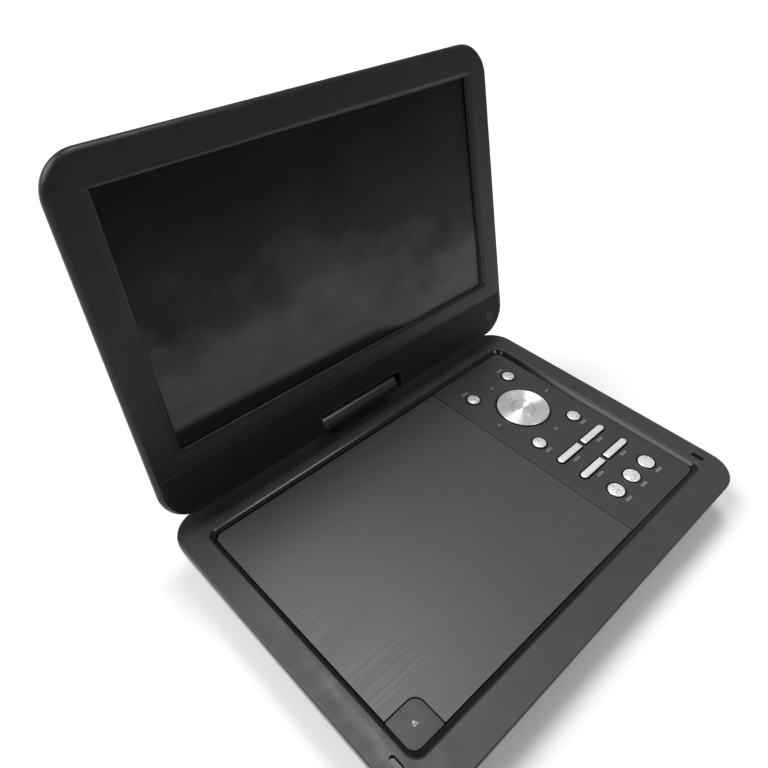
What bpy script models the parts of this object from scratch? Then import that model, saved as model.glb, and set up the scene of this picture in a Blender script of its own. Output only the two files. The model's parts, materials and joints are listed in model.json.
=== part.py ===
"""A portable DVD player: a flat base with a disc lid and a key panel, and a screen that tilts and swivels.

Sizes are in metres, written in millimetres times MM. +Z is up, the base's front faces -Y, and the
origin is on the floor under the middle of the open player.
"""

import math

import bmesh
import bpy
from mathutils import Matrix, Vector

MM = 0.001
GAP = 0.3 * MM  # between two pieces that rest on each other
RUN = 0.25 * MM  # round a pin or rod that turns or slides
CORNER_STEPS = 5
ROUND_STEPS = 24
PIN_STEPS = 12
SMOOTH_ANGLE = math.radians(35)

# The base, measured from its own centre, with the floor at zero height
CASE_W, CASE_D, CASE_CORNER = 259.6 * MM, 183.6 * MM, 17.2 * MM
CASE_X, CASE_Y = CASE_W / 2, CASE_D / 2
CASE_BOTTOM, SEAM_Z, RIM_Z = 2 * MM, 16 * MM, 26.5 * MM
WALL = 2 * MM
BASE_Y = -22.8 * MM  # the base's centre in the frame
WIDEST_Z = RIM_Z - 2.2 * MM  # below it the sides draw in
SIDE_LEAN, SIDE_CURL = 3.6 * MM, 10 * MM  # how far they draw in by the underside
RECESS_TOP = (-117 * MM, 117 * MM, -76 * MM, 75.5 * MM, 6.5 * MM)
RECESS_FLOOR = (-114 * MM, 114 * MM, -72 * MM, 72.4 * MM, 4.5 * MM)
FACE_Z = 24.2 * MM  # the level of the lid and the key panel, below the rim
SKIN = 1.8 * MM  # thickness of the lid and the key panel
RIM_SLOT_X, RIM_SLOT_Y, RIM_SLOT_DEPTH = 121.4 * MM, (-73.2 * MM, -65.8 * MM), 1.6 * MM
FOOT_R, FOOT_X, FOOT_Y = 5.5 * MM, 107 * MM, 68 * MM
SCREW_R, SCREW_X, SCREW_Y = 1.5 * MM, 90 * MM, 62 * MM

# The disc bay under the lid
LID_X0, LID_X1, LID_Y0 = -113.6 * MM, 48.7 * MM, -71.6 * MM
LID_AXIS_Y, LID_BARREL_R = 70 * MM, 1.6 * MM
LID_AXIS_Z = FACE_Z - LID_BARREL_R
LID_BARREL_X0, LID_BARREL_X1 = -108 * MM, 43 * MM
BUTTON_X1, BUTTON_Y1 = -95.3 * MM, -54.4 * MM
DISC_X, DISC_Y = -32.5 * MM, 3 * MM
WELL_R, WELL_Z, DECK_Z = 62.3 * MM, 17.4 * MM, 21.6 * MM
DECK_SKIN = 1.6 * MM
LENS_R = 24 * MM  # the lens's distance from the spindle at rest
LENS_SIZE = 2 * MM
LID_PIN_R = 0.7 * MM
SLED_TRAVEL = 32 * MM
ROD_Z, ROD_R = 10.5 * MM, 1.5 * MM
ROD_OFFSET, SCREW_OFFSET = 18 * MM, -26 * MM

# The keys: centres and sizes on the key panel
DIAL = (82.05 * MM, 25.6 * MM)
DIAL_R, OK_R = 16.25 * MM, 7 * MM
ROUND_KEY_R, RING_KEY_R, BAR_W = 4 * MM, 4.75 * MM, 4.2 * MM
ROUND_KEYS = {"back_left": (64.7, 51.3), "back_right": (99.4, 51.3), "front_left": (64.7, 0.1),
              "front_right": (99.4, 0.1)}
BAR_ROWS = {"back": -17 * MM, "front": -32.7 * MM}
BAR_LEFT, BAR_RIGHT = (60.5 * MM, 80.9 * MM), (84 * MM, 104.5 * MM)
RING_KEYS = {"left": 66.5 * MM, "middle": 82.2 * MM, "right": 97.9 * MM}
RING_KEY_Y = -50.8 * MM
KEY_PROUD, KEY_BOTTOM, KEY_SLOT, FLANGE = 0.9 * MM, 20.9 * MM, 0.45 * MM, 1 * MM

# The right side wall's sockets and controls: centres along the wall
PORT_Z = 20.6 * MM
PORT_FACE, SWITCH_FACE, PORT_BACK = CASE_X - 1.6 * MM, CASE_X - 0.3 * MM, 118.6 * MM
SWITCH_Y, WHEEL_Y, PHONES_Y, AV_Y = -54 * MM, -36 * MM, -18 * MM, -8 * MM
USB_Y, CARD_Y, DC_Y = 6 * MM, 27 * MM, 50 * MM
WHEEL_R, WHEEL_H, SWITCH_TRAVEL = 8.2 * MM, 2.6 * MM, 3 * MM

# The screen, measured from its tilt axis: x across, y up the screen, z towards the viewer
HINGE_Y, HINGE_Z = 90.2 * MM, RIM_Z + 9.3 * MM
OPEN_ANGLE = math.radians(103.87)
SCREEN_X, SCREEN_LOW, SCREEN_TOP, SCREEN_CORNER = CASE_X, -3.4 * MM, 178.3 * MM, 18.8 * MM
SCREEN_FRONT, SCREEN_BACK, SCREEN_SEAM = 8.4 * MM, -6.6 * MM, 1.4 * MM
SEAM_INSET = 0.8 * MM  # the screen is widest in front of its seam
FRAME_OUTER = (-115.6 * MM, 115.6 * MM, 32.1 * MM, 163.6 * MM, 1.5 * MM)
FRAME_INNER = (-111.4 * MM, 111.4 * MM, 34.6 * MM, 161.2 * MM, 0.5 * MM)
FRAME_DEPTH = 1.6 * MM
NOTCH_X, NOTCH_Y = 30.5 * MM, 9.2 * MM
BARREL_X, BARREL_R = 29.3 * MM, 6.2 * MM
NECK_X, NECK_Y = 22 * MM, 5 * MM
TILT_SHAFT_R, SHAFT_INNER, SHAFT_OUTER = 2.2 * MM, 14 * MM, 46 * MM
SWIVEL_R, BULGE_R = 6 * MM, 10.6 * MM
IR_X, IR_Y, IR_R = 116.7 * MM, 9.3 * MM, 2 * MM


def clear_scene():
    for obj in list(bpy.data.objects):
        bpy.data.objects.remove(obj, do_unlink=True)


def material(name, colour, roughness, metallic=0.0):
    made = bpy.data.materials.new(name)
    made.use_nodes = True
    shader = made.node_tree.nodes["Principled BSDF"]
    shader.inputs["Base Color"].default_value = (*colour, 1)
    shader.inputs["Roughness"].default_value = roughness
    shader.inputs["Metallic"].default_value = metallic
    return made


# Outlines and solids


def rounded_rect(x0, x1, y0, y1, radii, steps=CORNER_STEPS):
    """A rectangle's outline, anticlockwise. Radii: front right, back right, back left, front left."""
    if not isinstance(radii, tuple):
        radii = (radii,) * 4
    corners = ((x1, y0, -1, 1), (x1, y1, -1, -1), (x0, y1, 1, -1), (x0, y0, 1, 1))
    points = []
    for i, ((x, y, dx, dy), r) in enumerate(zip(corners, radii)):
        for k in range(steps + 1):
            angle = math.radians(90 * (i - 1 + k / steps))
            point = (x + dx * r + r * math.cos(angle), y + dy * r + r * math.sin(angle))
            if not points or math.dist(point, points[-1]) > 1e-6:
                points.append(point)
    if math.dist(points[0], points[-1]) < 1e-6:
        points.pop()
    return points


def circle(x, y, r, steps=ROUND_STEPS):
    angles = [2 * math.pi * k / steps for k in range(steps)]
    return [(x + r * math.cos(a), y + r * math.sin(a)) for a in angles]


def grown(sizes, d):
    """A rounded rectangle's five sizes, grown by d on every side."""
    x0, x1, y0, y1, radii = sizes
    if isinstance(radii, tuple):
        radii = tuple(r + d for r in radii)
    else:
        radii += d
    return x0 - d, x1 + d, y0 - d, y1 + d, radii


def stack(*sections):
    """A solid through outlines, each with its height, capped at both ends."""
    return sections, False, None


def hoop(*sections):
    """A closed ring through outlines that run up one side and down the other."""
    return sections, True, None


def prism(outline, low, high):
    return stack((outline, low), (outline, high))


def box(x0, x1, y0, y1, z0, z1):
    return prism([(x0, y0), (x1, y0), (x1, y1), (x0, y1)], z0, z1)


def along_x(shape):
    """Outlines in (y, z) and heights in x."""
    return shape[0], shape[1], Matrix(((0, 0, 1), (1, 0, 0), (0, 1, 0))).to_4x4()


def along_y(shape):
    """Outlines in (z, x) and heights in y."""
    return shape[0], shape[1], Matrix(((0, 1, 0), (0, 0, 1), (1, 0, 0))).to_4x4()


def add_shape(bm, shape):
    sections, ring, turn = shape
    loops = [[bm.verts.new((x, y, z)) for x, y in outline] for outline, z in sections]
    following = loops[1:] + loops[:1] if ring else loops[1:]
    for low, high in zip(loops, following):
        for i in range(len(low)):
            j = (i + 1) % len(low)
            bm.faces.new((low[i], low[j], high[j], high[i]))
    if not ring:
        bm.faces.new(loops[0])
        bm.faces.new(loops[-1])
    if turn:
        bmesh.ops.transform(bm, matrix=turn, verts=[v for loop in loops for v in loop])


def make(name, shapes, finish, parent, at=(0, 0, 0)):
    """An object of its own, with its origin at a point on its joint's axis where it has a joint."""
    bm = bmesh.new()
    for shape in shapes:
        add_shape(bm, shape)
    bmesh.ops.translate(bm, vec=-Vector(at), verts=bm.verts)
    bmesh.ops.recalc_face_normals(bm, faces=bm.faces)
    mesh = bpy.data.meshes.new(name)
    bm.to_mesh(mesh)
    bm.free()
    if finish:
        mesh.materials.append(finish)
    mesh.shade_smooth()
    mesh.set_sharp_from_angle(angle=SMOOTH_ANGLE)
    obj = bpy.data.objects.new(name, mesh)
    bpy.context.scene.collection.objects.link(obj)
    obj.location = at
    obj.parent = parent
    return obj


def boolean(obj, operation, *shapes):
    """Joins shapes to the object, or cuts them from it, through one hidden helper."""
    helper = make(f"{obj.name}.helper_{len(obj.modifiers)}", shapes, None, obj.parent)
    helper.hide_render = True
    helper.display_type = "WIRE"
    modifier = obj.modifiers.new(operation.title(), "BOOLEAN")
    modifier.operation = operation
    modifier.solver = "EXACT"
    modifier.object = helper


def cut(obj, *shapes):
    boolean(obj, "DIFFERENCE", *shapes)


def join(obj, *shapes):
    boolean(obj, "UNION", *shapes)


def axis_empty(name, parent, location, turn=0.0):
    empty = bpy.data.objects.new(name, None)
    bpy.context.scene.collection.objects.link(empty)
    empty.parent = parent
    empty.location = location
    empty.rotation_euler = (turn, 0, 0)
    return empty


def four_places(x, y):
    return [(sx * x, sy * y) for sx in (-1, 1) for sy in (-1, 1)]


# The base's shells


def case_outline(inset):
    x, y = CASE_X - inset, CASE_Y - inset
    return rounded_rect(-x, x, -y, y, CASE_CORNER - inset)


def side_inset(z):
    """How far the base's sides have drawn in at a height: a steady lean that curls under at its foot."""
    depth = (WIDEST_Z - z) / (WIDEST_Z - CASE_BOTTOM)
    return SIDE_LEAN * depth + SIDE_CURL * depth**4


def side_section(z, thickness=0.0):
    return case_outline(side_inset(z) + thickness), z


def side_openings():
    """Cutters through the right wall, one for each socket and control."""
    low, high = CASE_X - 5 * MM, CASE_X + 2 * MM

    def slot(y, half_w, half_h):
        outline = rounded_rect(y - half_w, y + half_w, PORT_Z - half_h, PORT_Z + half_h, 0.7 * MM, 3)
        return along_x(prism(outline, low, high))

    rounds = [(PHONES_Y, 3.7 * MM), (AV_Y, 3.7 * MM), (DC_Y, 4.6 * MM)]
    slots = [(USB_Y, 7 * MM, 3.3 * MM), (CARD_Y, 13.3 * MM, 2 * MM)]
    slots += [(WHEEL_Y, 7.2 * MM, 1.8 * MM), (SWITCH_Y, 4.8 * MM, 1.7 * MM)]
    made = [along_x(prism(circle(y, PORT_Z, r, 16), low, high)) for y, r in rounds]
    return made + [slot(*sizes) for sizes in slots]


def rim_slots():
    """Two shallow slots in the rim near the front corners."""
    made = []
    for x in (-RIM_SLOT_X, RIM_SLOT_X):
        outline = rounded_rect(x - 1.5 * MM, x + 1.5 * MM, *RIM_SLOT_Y, 1.4 * MM, 3)
        made.append(prism(outline, RIM_Z - RIM_SLOT_DEPTH, RIM_Z + MM))
    return made


def base_top_case(finish, player):
    ledge = FACE_Z - SKIN
    roof = RIM_Z - WALL
    shell = hoop(
        side_section(SEAM_Z + GAP),
        side_section(WIDEST_Z),
        (case_outline(0), RIM_Z - MM),
        (case_outline(0.3 * MM), RIM_Z - 0.3 * MM),
        (case_outline(MM), RIM_Z),
        (rounded_rect(*RECESS_TOP), RIM_Z),
        (rounded_rect(*RECESS_FLOOR), FACE_Z),
        (rounded_rect(*RECESS_FLOOR), ledge),
        (rounded_rect(*grown(RECESS_TOP, MM)), ledge),
        (rounded_rect(*grown(RECESS_TOP, MM)), roof),
        (case_outline(WALL), roof),
        side_section(SEAM_Z + GAP, WALL),
    )
    case = make("base_top_case", [shell], finish, player)
    join(case, prism(circle(0, HINGE_Y, BULGE_R), SEAM_Z + 2 * GAP, RIM_Z - GAP))
    bore = prism(circle(0, HINGE_Y, SWIVEL_R + RUN), SEAM_Z - 2 * MM, RIM_Z + 2 * MM)
    cut(case, bore, *side_openings(), *rim_slots())


def base_bottom_case(finish, player):
    """A dish whose sides curve in towards a flat underside, with a boss over each screw."""
    outer = [side_section(z * MM) for z in (16, 13, 10, 7, 4.5, 2.8, 2)]
    inner = [(case_outline(15 * MM), CASE_BOTTOM + WALL)]
    inner += [side_section(z * MM, WALL) for z in (7.6, 10.6, 13.6, 16)]
    case = make("base_bottom_case", [stack(*inner, *outer)], finish, player)
    places = four_places(SCREW_X, SCREW_Y)
    turret = stack(
        (circle(0, HINGE_Y, 6.4 * MM), 8.2 * MM),
        (circle(0, HINGE_Y, 9.4 * MM), 11 * MM),
        (circle(0, HINGE_Y, BULGE_R - GAP), SEAM_Z - GAP),
    )
    join(case, turret, *(prism(circle(x, y, 3.6 * MM, 16), 3 * MM, SEAM_Z - MM) for x, y in places))
    shaft_pit = prism(circle(0, HINGE_Y, SWIVEL_R + RUN), 11.6 * MM, SEAM_Z + MM)
    cut(case, shaft_pit, *(screw_hole(x, y) for x, y in places))


def screw_hole(x, y):
    """A counterbored hole, open at the underside and closed at its top."""
    profile = [(3, 1), (3, 4.4), (1.8, 4.4), (1.8, 14)]
    return stack(*((circle(x, y, r * MM, PIN_STEPS), z * MM) for r, z in profile))


def feet_and_screws(rubber, steel, player):
    for i, (x, y) in enumerate(four_places(FOOT_X, FOOT_Y), 1):
        sections = [(FOOT_R - 0.6 * MM, 0), (FOOT_R, 0.6 * MM), (FOOT_R, CASE_BOTTOM - GAP)]
        make(f"rubber_foot_{i}", [stack(*((circle(x, y, r, 20), z) for r, z in sections))], rubber, player)
    for i, (x, y) in enumerate(four_places(SCREW_X, SCREW_Y), 1):
        profile = [(2.6, 2.5), (2.6, 4.1), (1.5, 4.1), (1.5, 13.4)]
        sections = [(circle(x, y, r * MM, PIN_STEPS), z * MM) for r, z in profile]
        make(f"case_screw_{i}", [stack(*sections)], steel, player)


def hinge_bracket(steel, player):
    """A steel plate inside the back wall that stiffens the boss in which the swivel shaft turns."""
    outline = rounded_rect(-27 * MM, 27 * MM, 74.6 * MM, 87.3 * MM, 2 * MM)
    plate = make("hinge_bracket", [prism(outline, 17.6 * MM, 19.2 * MM)], steel, player)
    cut(plate, prism(circle(0, HINGE_Y, BULGE_R + GAP), 15 * MM, 21 * MM))


# The disc bay


def disc_lid(finish, player):
    """A plate with a hinge barrel along its back edge, notched for the open button."""
    back, r = LID_AXIS_Y, LID_BARREL_R
    profile = [(LID_Y0, FACE_Z - SKIN), (back - 2 * MM, FACE_Z - SKIN)]
    for k in range(11):
        angle = math.radians(-120 + 21 * k)
        profile.append((back + r * math.cos(angle), LID_AXIS_Z + r * math.sin(angle)))
    profile.append((LID_Y0, FACE_Z))
    lid = make("disc_lid", [along_x(prism(profile, LID_X0, LID_X1))], finish, player, (0, back, LID_AXIS_Z))
    join(lid, box(-91 * MM, -88 * MM, -62 * MM, -58 * MM, 17.6 * MM, FACE_Z - MM))
    radii = (0.5 * MM, 5.5 * MM, 0.5 * MM, 0.5 * MM)
    notch = rounded_rect(LID_X0 - 5 * MM, BUTTON_X1 + KEY_SLOT, LID_Y0 - 5 * MM, BUTTON_Y1 + KEY_SLOT, radii)
    low, high = LID_AXIS_Z - 4 * MM, FACE_Z + MM
    sides = [(LID_X0 - MM, LID_BARREL_X0), (LID_BARREL_X1, LID_X1 + MM)]
    cut(lid, prism(notch, low, high), *(box(*x, back - 2.6 * MM, back + 3 * MM, low, high) for x in sides))
    bores = [(LID_BARREL_X0 - MM, LID_BARREL_X0 + 4 * MM), (LID_BARREL_X1 - 4 * MM, LID_BARREL_X1 + MM)]
    cut(lid, *(along_x(prism(circle(back, LID_AXIS_Z, LID_PIN_R + RUN, PIN_STEPS), *x)) for x in bores))


def lid_hinge_pins(steel, player):
    ends = {"left": LID_BARREL_X0 - 0.7 * MM, "right": LID_BARREL_X1 + 0.7 * MM}
    for side, x in ends.items():
        pin = prism(circle(LID_AXIS_Y, LID_AXIS_Z, LID_PIN_R, PIN_STEPS), x - 4 * MM, x + 4 * MM)
        make(f"lid_hinge_pin_{side}", [along_x(pin)], steel, player)


def disc_deck(finish, player):
    """The moulding under the lid: a plate, a dished well for the disc and lugs for the lid's pins."""
    low, flat = WELL_Z - DECK_SKIN, 0.3 * MM
    plate = prism(rounded_rect(LID_X0 + GAP, LID_X1, LID_Y0 + GAP, 67 * MM, 3 * MM), DECK_Z - SKIN, DECK_Z)
    deck = make("disc_deck", [plate], finish, player)
    cup = prism(circle(DISC_X, DISC_Y, WELL_R + DECK_SKIN, 48), low, DECK_Z - 0.2 * MM)
    sides = [(LID_X0 + GAP, LID_BARREL_X0 - GAP), (LID_BARREL_X1 + GAP, LID_X1)]
    corners = (flat, flat, 4 * MM, flat), (flat,) * 4
    backs = [rounded_rect(*x, LID_AXIS_Y - 1.9 * MM, 71.9 * MM, r) for x, r in zip(sides, corners)]
    lugs = [prism(outline, 17 * MM, FACE_Z - 0.1 * MM) for outline in backs]
    arms = [box(x[0] + MM, x[1] - MM, 62 * MM, 69 * MM, 18 * MM, DECK_Z - 0.8 * MM) for x in sides]
    join(deck, cup)
    join(deck, *lugs)
    join(deck, *arms)
    well = prism(circle(DISC_X, DISC_Y, WELL_R, 48), WELL_Z, DECK_Z + MM)
    corner = box(LID_X0 - MM, BUTTON_X1 + MM, LID_Y0 - MM, BUTTON_Y1 + MM, low - MM, DECK_Z + MM)
    cut(deck, well, corner, box(-92 * MM, -87 * MM, -63 * MM, -57 * MM, low, DECK_Z + MM))
    lens_y = DISC_Y - LENS_R
    window = rounded_rect(DISC_X - 10 * MM, DISC_X + 10 * MM, lens_y - SLED_TRAVEL - 5.6 * MM,
                          lens_y + 5.6 * MM, 2 * MM, 3)
    middle = circle(DISC_X, DISC_Y, 9 * MM)
    cut(deck, *(prism(outline, low - MM, WELL_Z + MM) for outline in (window, middle)))
    pins = [(LID_BARREL_X0 - 4.9 * MM, LID_BARREL_X0), (LID_BARREL_X1, LID_BARREL_X1 + 4.9 * MM)]
    bore = circle(LID_AXIS_Y, LID_AXIS_Z, LID_PIN_R + RUN, PIN_STEPS)
    cut(deck, *(along_x(prism(bore, *ends)) for ends in pins))


def open_button(finish, player):
    """The square release button in the lid's corner, with a stem that pushes the latch."""
    at = (-104.5 * MM, -63 * MM, FACE_Z)
    radii = (1 * MM, 5 * MM, 1 * MM, 4.5 * MM)
    edge = 0.4 * MM

    def outline(inset):
        sizes = (LID_X0 + inset, BUTTON_X1 - inset, LID_Y0 + inset, BUTTON_Y1 - inset)
        return rounded_rect(*sizes, tuple(r - inset for r in radii))

    cap = stack((outline(0), FACE_Z - 3 * MM), (outline(0), FACE_Z - edge), (outline(edge), FACE_Z))
    button = make("open_button", [cap], finish, player, at)
    join(button, prism(circle(at[0], at[1], 2.5 * MM, 16), 19.6 * MM, FACE_Z - 2 * MM))


def lid_latch(finish, player):
    """A sliding bar whose tooth stands beside the lid's tongue."""
    bar = box(-103 * MM, -91.3 * MM, -62 * MM, -58 * MM, 15.6 * MM, 18 * MM)
    make("lid_latch", [bar], finish, player, (-97 * MM, -60 * MM, 17 * MM))


def drive(finishes, player):
    """The spindle and its motor, and the pickup on two rods, driven by a lead screw."""
    x, y, z = DISC_X, DISC_Y, ROD_Z
    make("spindle_motor", [prism(circle(x, y, 12.6 * MM), 4.6 * MM, 15.4 * MM)], finishes["steel"], player)
    profile = [(8, 15.7), (8, 17.8), (11.5, 17.8), (11.5, 19), (7.4, 19), (7.4, 20.4), (6.2, 21.4)]
    hub = stack(*((circle(x, y, r * MM), h * MM) for r, h in profile))
    make("spindle_hub", [hub], finishes["black"], player, (x, y, WELL_Z))
    rod_ends = (-70 * MM, -3.5 * MM)
    for side, offset in (("left", -ROD_OFFSET), ("right", ROD_OFFSET)):
        rod = along_y(prism(circle(z, x + offset, ROD_R, PIN_STEPS), *rod_ends))
        make(f"guide_rod_{side}", [rod], finishes["steel"], player)
    screw_x = x + SCREW_OFFSET
    screw = along_y(prism(circle(z, screw_x, 1.25 * MM, PIN_STEPS), -70 * MM, -2.4 * MM))
    make("lead_screw", [screw], finishes["steel"], player, (screw_x, -36 * MM, z))
    motor = along_y(prism(circle(z, screw_x, 5 * MM, 20), -2 * MM, 12 * MM))
    make("sled_motor", [motor], finishes["steel"], player)
    pickup(finishes, player)


def pickup(finishes, player):
    x, lens_y = DISC_X, DISC_Y - LENS_R
    sled_box = box(x - 29.5 * MM, x + 21.5 * MM, lens_y - 12 * MM, lens_y + 10 * MM, 7 * MM, 14 * MM)
    sled = make("pickup_sled", [sled_box], finishes["black"], player, (x, lens_y, ROD_Z))
    join(sled, box(x - 9 * MM, x + 9 * MM, lens_y - 5 * MM, lens_y + 5 * MM, 13 * MM, 17.2 * MM))
    bores = [(-ROD_OFFSET, ROD_R + RUN), (ROD_OFFSET, ROD_R + RUN), (SCREW_OFFSET, 1.5 * MM)]
    ends = (lens_y - 13 * MM, lens_y + 11 * MM)
    cut(sled, *(along_y(prism(circle(ROD_Z, x + dx, r, PIN_STEPS), *ends)) for dx, r in bores))
    lens = prism(circle(x, lens_y, LENS_SIZE, 16), 17.5 * MM, 18.3 * MM)
    make("pickup_lens", [lens], finishes["lens"], player, (x, lens_y, 17.5 * MM))


# The key panel and what is under it


def key_panel(finish, player):
    corner, flat = 4.2 * MM, 0.6 * MM
    plate = rounded_rect(LID_X1 + 0.6 * MM, -LID_X0, LID_Y0, 72 * MM, (corner, corner, flat, flat))
    panel = make("control_panel", [prism(plate, FACE_Z - WALL, FACE_Z)], finish, player)
    low, high = FACE_Z - 2 * WALL, FACE_Z + MM
    holes = [rounded_rect(*grown(key, KEY_SLOT)) for key in key_sizes().values()]
    holes.append(circle(*DIAL, DIAL_R + KEY_SLOT, 40))
    cut(panel, *(prism(hole, low, high) for hole in holes))


def round_key(x, y, r):
    return x - r, x + r, y - r, y + r, r


def key_sizes():
    """Each key's outline but the dial's, as a rounded rectangle's sizes by name."""
    sizes = {}
    for name, (x, y) in ROUND_KEYS.items():
        sizes[f"round_key_{name}"] = round_key(x * MM, y * MM, ROUND_KEY_R)
    for name, x in RING_KEYS.items():
        sizes[f"ring_key_{name}"] = round_key(x, RING_KEY_Y, RING_KEY_R)
    end, flat = BAR_W / 2, 0.5 * MM
    for name, y in BAR_ROWS.items():
        sizes[f"bar_key_{name}_left"] = (*BAR_LEFT, y - end, y + end, (flat, flat, end, end))
        sizes[f"bar_key_{name}_right"] = (*BAR_RIGHT, y - end, y + end, (end, end, flat, flat))
    return sizes


def keys(finishes, player):
    """Each key is a cap with a flange below the panel that stops it on its way up."""
    flange_top, top = KEY_BOTTOM + 0.8 * MM, FACE_Z + KEY_PROUD
    edge = 0.35 * MM
    for name, sizes in key_sizes().items():
        wide = rounded_rect(*grown(sizes, FLANGE))
        cap, tip = rounded_rect(*sizes), rounded_rect(*grown(sizes, -edge))
        levels = [(wide, KEY_BOTTOM), (wide, flange_top), (cap, flange_top), (cap, top - edge), (tip, top)]
        x, y = (sizes[0] + sizes[1]) / 2, (sizes[2] + sizes[3]) / 2
        make(name, [stack(*levels)], finishes["silver"], player, (x, y, FACE_Z))
    x, y = DIAL
    profile = [(DIAL_R + FLANGE, 20.9), (DIAL_R + FLANGE, 21.7), (DIAL_R, 21.7), (DIAL_R, 24.9),
               (DIAL_R - edge, 25.2), (OK_R + 1.5 * MM, 24.7), (OK_R + KEY_SLOT, 24.6),
               (OK_R + KEY_SLOT, 20.9)]
    ring = hoop(*((circle(x, y, r, 40), z * MM) for r, z in profile))
    make("nav_ring", [ring], finishes["silver"], player, (x, y, FACE_Z))
    profile = [(OK_R, 20.9), (OK_R, 24.8), (OK_R - edge, 25.1)]
    make("ok_button", [stack(*((circle(x, y, r), z * MM) for r, z in profile))], finishes["silver"], player,
         (x, y, FACE_Z))


def electronics(finishes, player):
    board = rounded_rect(57 * MM, 111 * MM, -60 * MM, 60 * MM, 2 * MM, 2)
    make("key_board", [prism(board, 18.4 * MM, 20 * MM)], finishes["board"], player)
    board = rounded_rect(52 * MM, 118 * MM, -57 * MM, 57 * MM, 2 * MM, 2)
    make("main_board", [prism(board, 14.4 * MM, 16 * MM)], finishes["board"], player)
    cells = rounded_rect(56 * MM, 112 * MM, -54 * MM, 54 * MM, 3 * MM, 3)
    make("battery_pack", [prism(cells, 4.4 * MM, 13.4 * MM)], finishes["battery"], player)


def socket(name, y, body_r, nose_r, bore_r, pin_r, finish, player):
    """A round socket with its mouth in the right wall, and a centre pin where pin_r is given."""
    step, deep = PORT_FACE - 2.2 * MM, PORT_BACK + 2 * MM
    profile = [(body_r, PORT_BACK), (body_r, step), (nose_r, step), (nose_r, PORT_FACE), (bore_r, PORT_FACE),
               (bore_r, deep)]
    if pin_r:
        profile += [(pin_r, deep), (pin_r, PORT_FACE - 2 * MM)]
    shape = along_x(stack(*((circle(y, PORT_Z, r, 16), x) for r, x in profile)))
    make(name, [shape], finish, player)


def flat_socket(name, y, half_w, half_h, finish, player):
    """A flat socket: a sleeve closed at its back end."""
    floor, skin = PORT_BACK + 1.4 * MM, 0.5 * MM
    outer = rounded_rect(y - half_w, y + half_w, PORT_Z - half_h, PORT_Z + half_h, 0.7 * MM, 2)
    inner = rounded_rect(y - half_w + skin, y + half_w - skin, PORT_Z - half_h + skin,
                         PORT_Z + half_h - skin, 0.3 * MM, 2)
    shape = stack((outer, PORT_BACK), (outer, PORT_FACE), (inner, PORT_FACE), (inner, floor))
    make(name, [along_x(shape)], finish, player)


def side_controls(finishes, player):
    black, steel = finishes["black"], finishes["steel"]
    socket("headphone_jack", PHONES_Y, 3.6 * MM, 3.4 * MM, 1.8 * MM, 0, black, player)
    socket("av_jack", AV_Y, 3.6 * MM, 3.4 * MM, 1.8 * MM, 0, black, player)
    socket("dc_jack", DC_Y, 3.6 * MM, 4.3 * MM, 2.8 * MM, 0.9 * MM, black, player)
    flat_socket("usb_socket", USB_Y, 6.7 * MM, 3 * MM, steel, player)
    flat_socket("card_socket", CARD_Y, 13 * MM, 1.7 * MM, steel, player)
    x = CASE_X - WHEEL_R - 0.2 * MM
    low = PORT_Z - WHEEL_H / 2
    wheel = prism(circle(x, WHEEL_Y, WHEEL_R, 32), low, low + WHEEL_H)
    make("volume_wheel", [wheel], black, player, (x, WHEEL_Y, PORT_Z))
    y = SWITCH_Y - SWITCH_TRAVEL / 2
    knob = box(122 * MM, SWITCH_FACE, y - 2.6 * MM, y + 2.6 * MM, PORT_Z - 1.3 * MM, PORT_Z + 1.3 * MM)
    make("power_switch", [knob], black, player, (SWITCH_FACE, y, PORT_Z))


# The swivel hinge and the screen


def hinge_barrel(finish, swivel):
    """A barrel on a neck and a round foot, with a shaft that turns in the base."""
    foot_r, foot_low, foot_top = 8.6 * MM, RIM_Z + GAP, RIM_Z + 1.4 * MM
    profile = [(SWIVEL_R, 12 * MM), (SWIVEL_R, foot_low), (foot_r, foot_low), (foot_r, foot_top)]
    shaft = stack(*((circle(0, 0, r), z) for r, z in profile))
    barrel = make("hinge_barrel", [shaft], finish, swivel)
    neck = rounded_rect(-NECK_X, NECK_X, -NECK_Y, NECK_Y, 3 * MM, 3)
    join(barrel, prism(neck, foot_low + 0.2 * MM, HINGE_Z))
    ends = [(BARREL_R - 0.6 * MM, -BARREL_X), (BARREL_R, -BARREL_X + 0.6 * MM)]
    ends += [(r, -x) for r, x in reversed(ends)]
    join(barrel, along_x(stack(*((circle(0, HINGE_Z, r), x) for r, x in ends))))
    bores = [(-BARREL_X - MM, -SHAFT_INNER + GAP), (SHAFT_INNER - GAP, BARREL_X + MM)]
    cut(barrel, *(along_x(prism(circle(0, HINGE_Z, TILT_SHAFT_R + RUN, 16), *x)) for x in bores))


def tilt_shafts(steel, tilt):
    for side, sign in (("left", -1), ("right", 1)):
        ends = sorted((sign * SHAFT_INNER, sign * SHAFT_OUTER))
        shaft = along_x(prism(circle(0, 0, TILT_SHAFT_R, 16), *ends))
        make(f"tilt_shaft_{side}", [shaft], steel, tilt)


def screen_outline(inset):
    sizes = (-SCREEN_X + inset, SCREEN_X - inset, SCREEN_LOW + inset, SCREEN_TOP - inset)
    return rounded_rect(*sizes, SCREEN_CORNER - inset)


def notch_cutters():
    """The notch that clears the hinge barrel, and the holes for the tilt shafts beside it."""
    notch = box(-NOTCH_X, NOTCH_X, SCREEN_LOW - 5 * MM, NOTCH_Y, SCREEN_BACK - MM, SCREEN_FRONT + MM)
    side = SHAFT_OUTER + MM
    return notch, along_x(prism(circle(0, 0, TILT_SHAFT_R + GAP, 16), -side, side))


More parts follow.
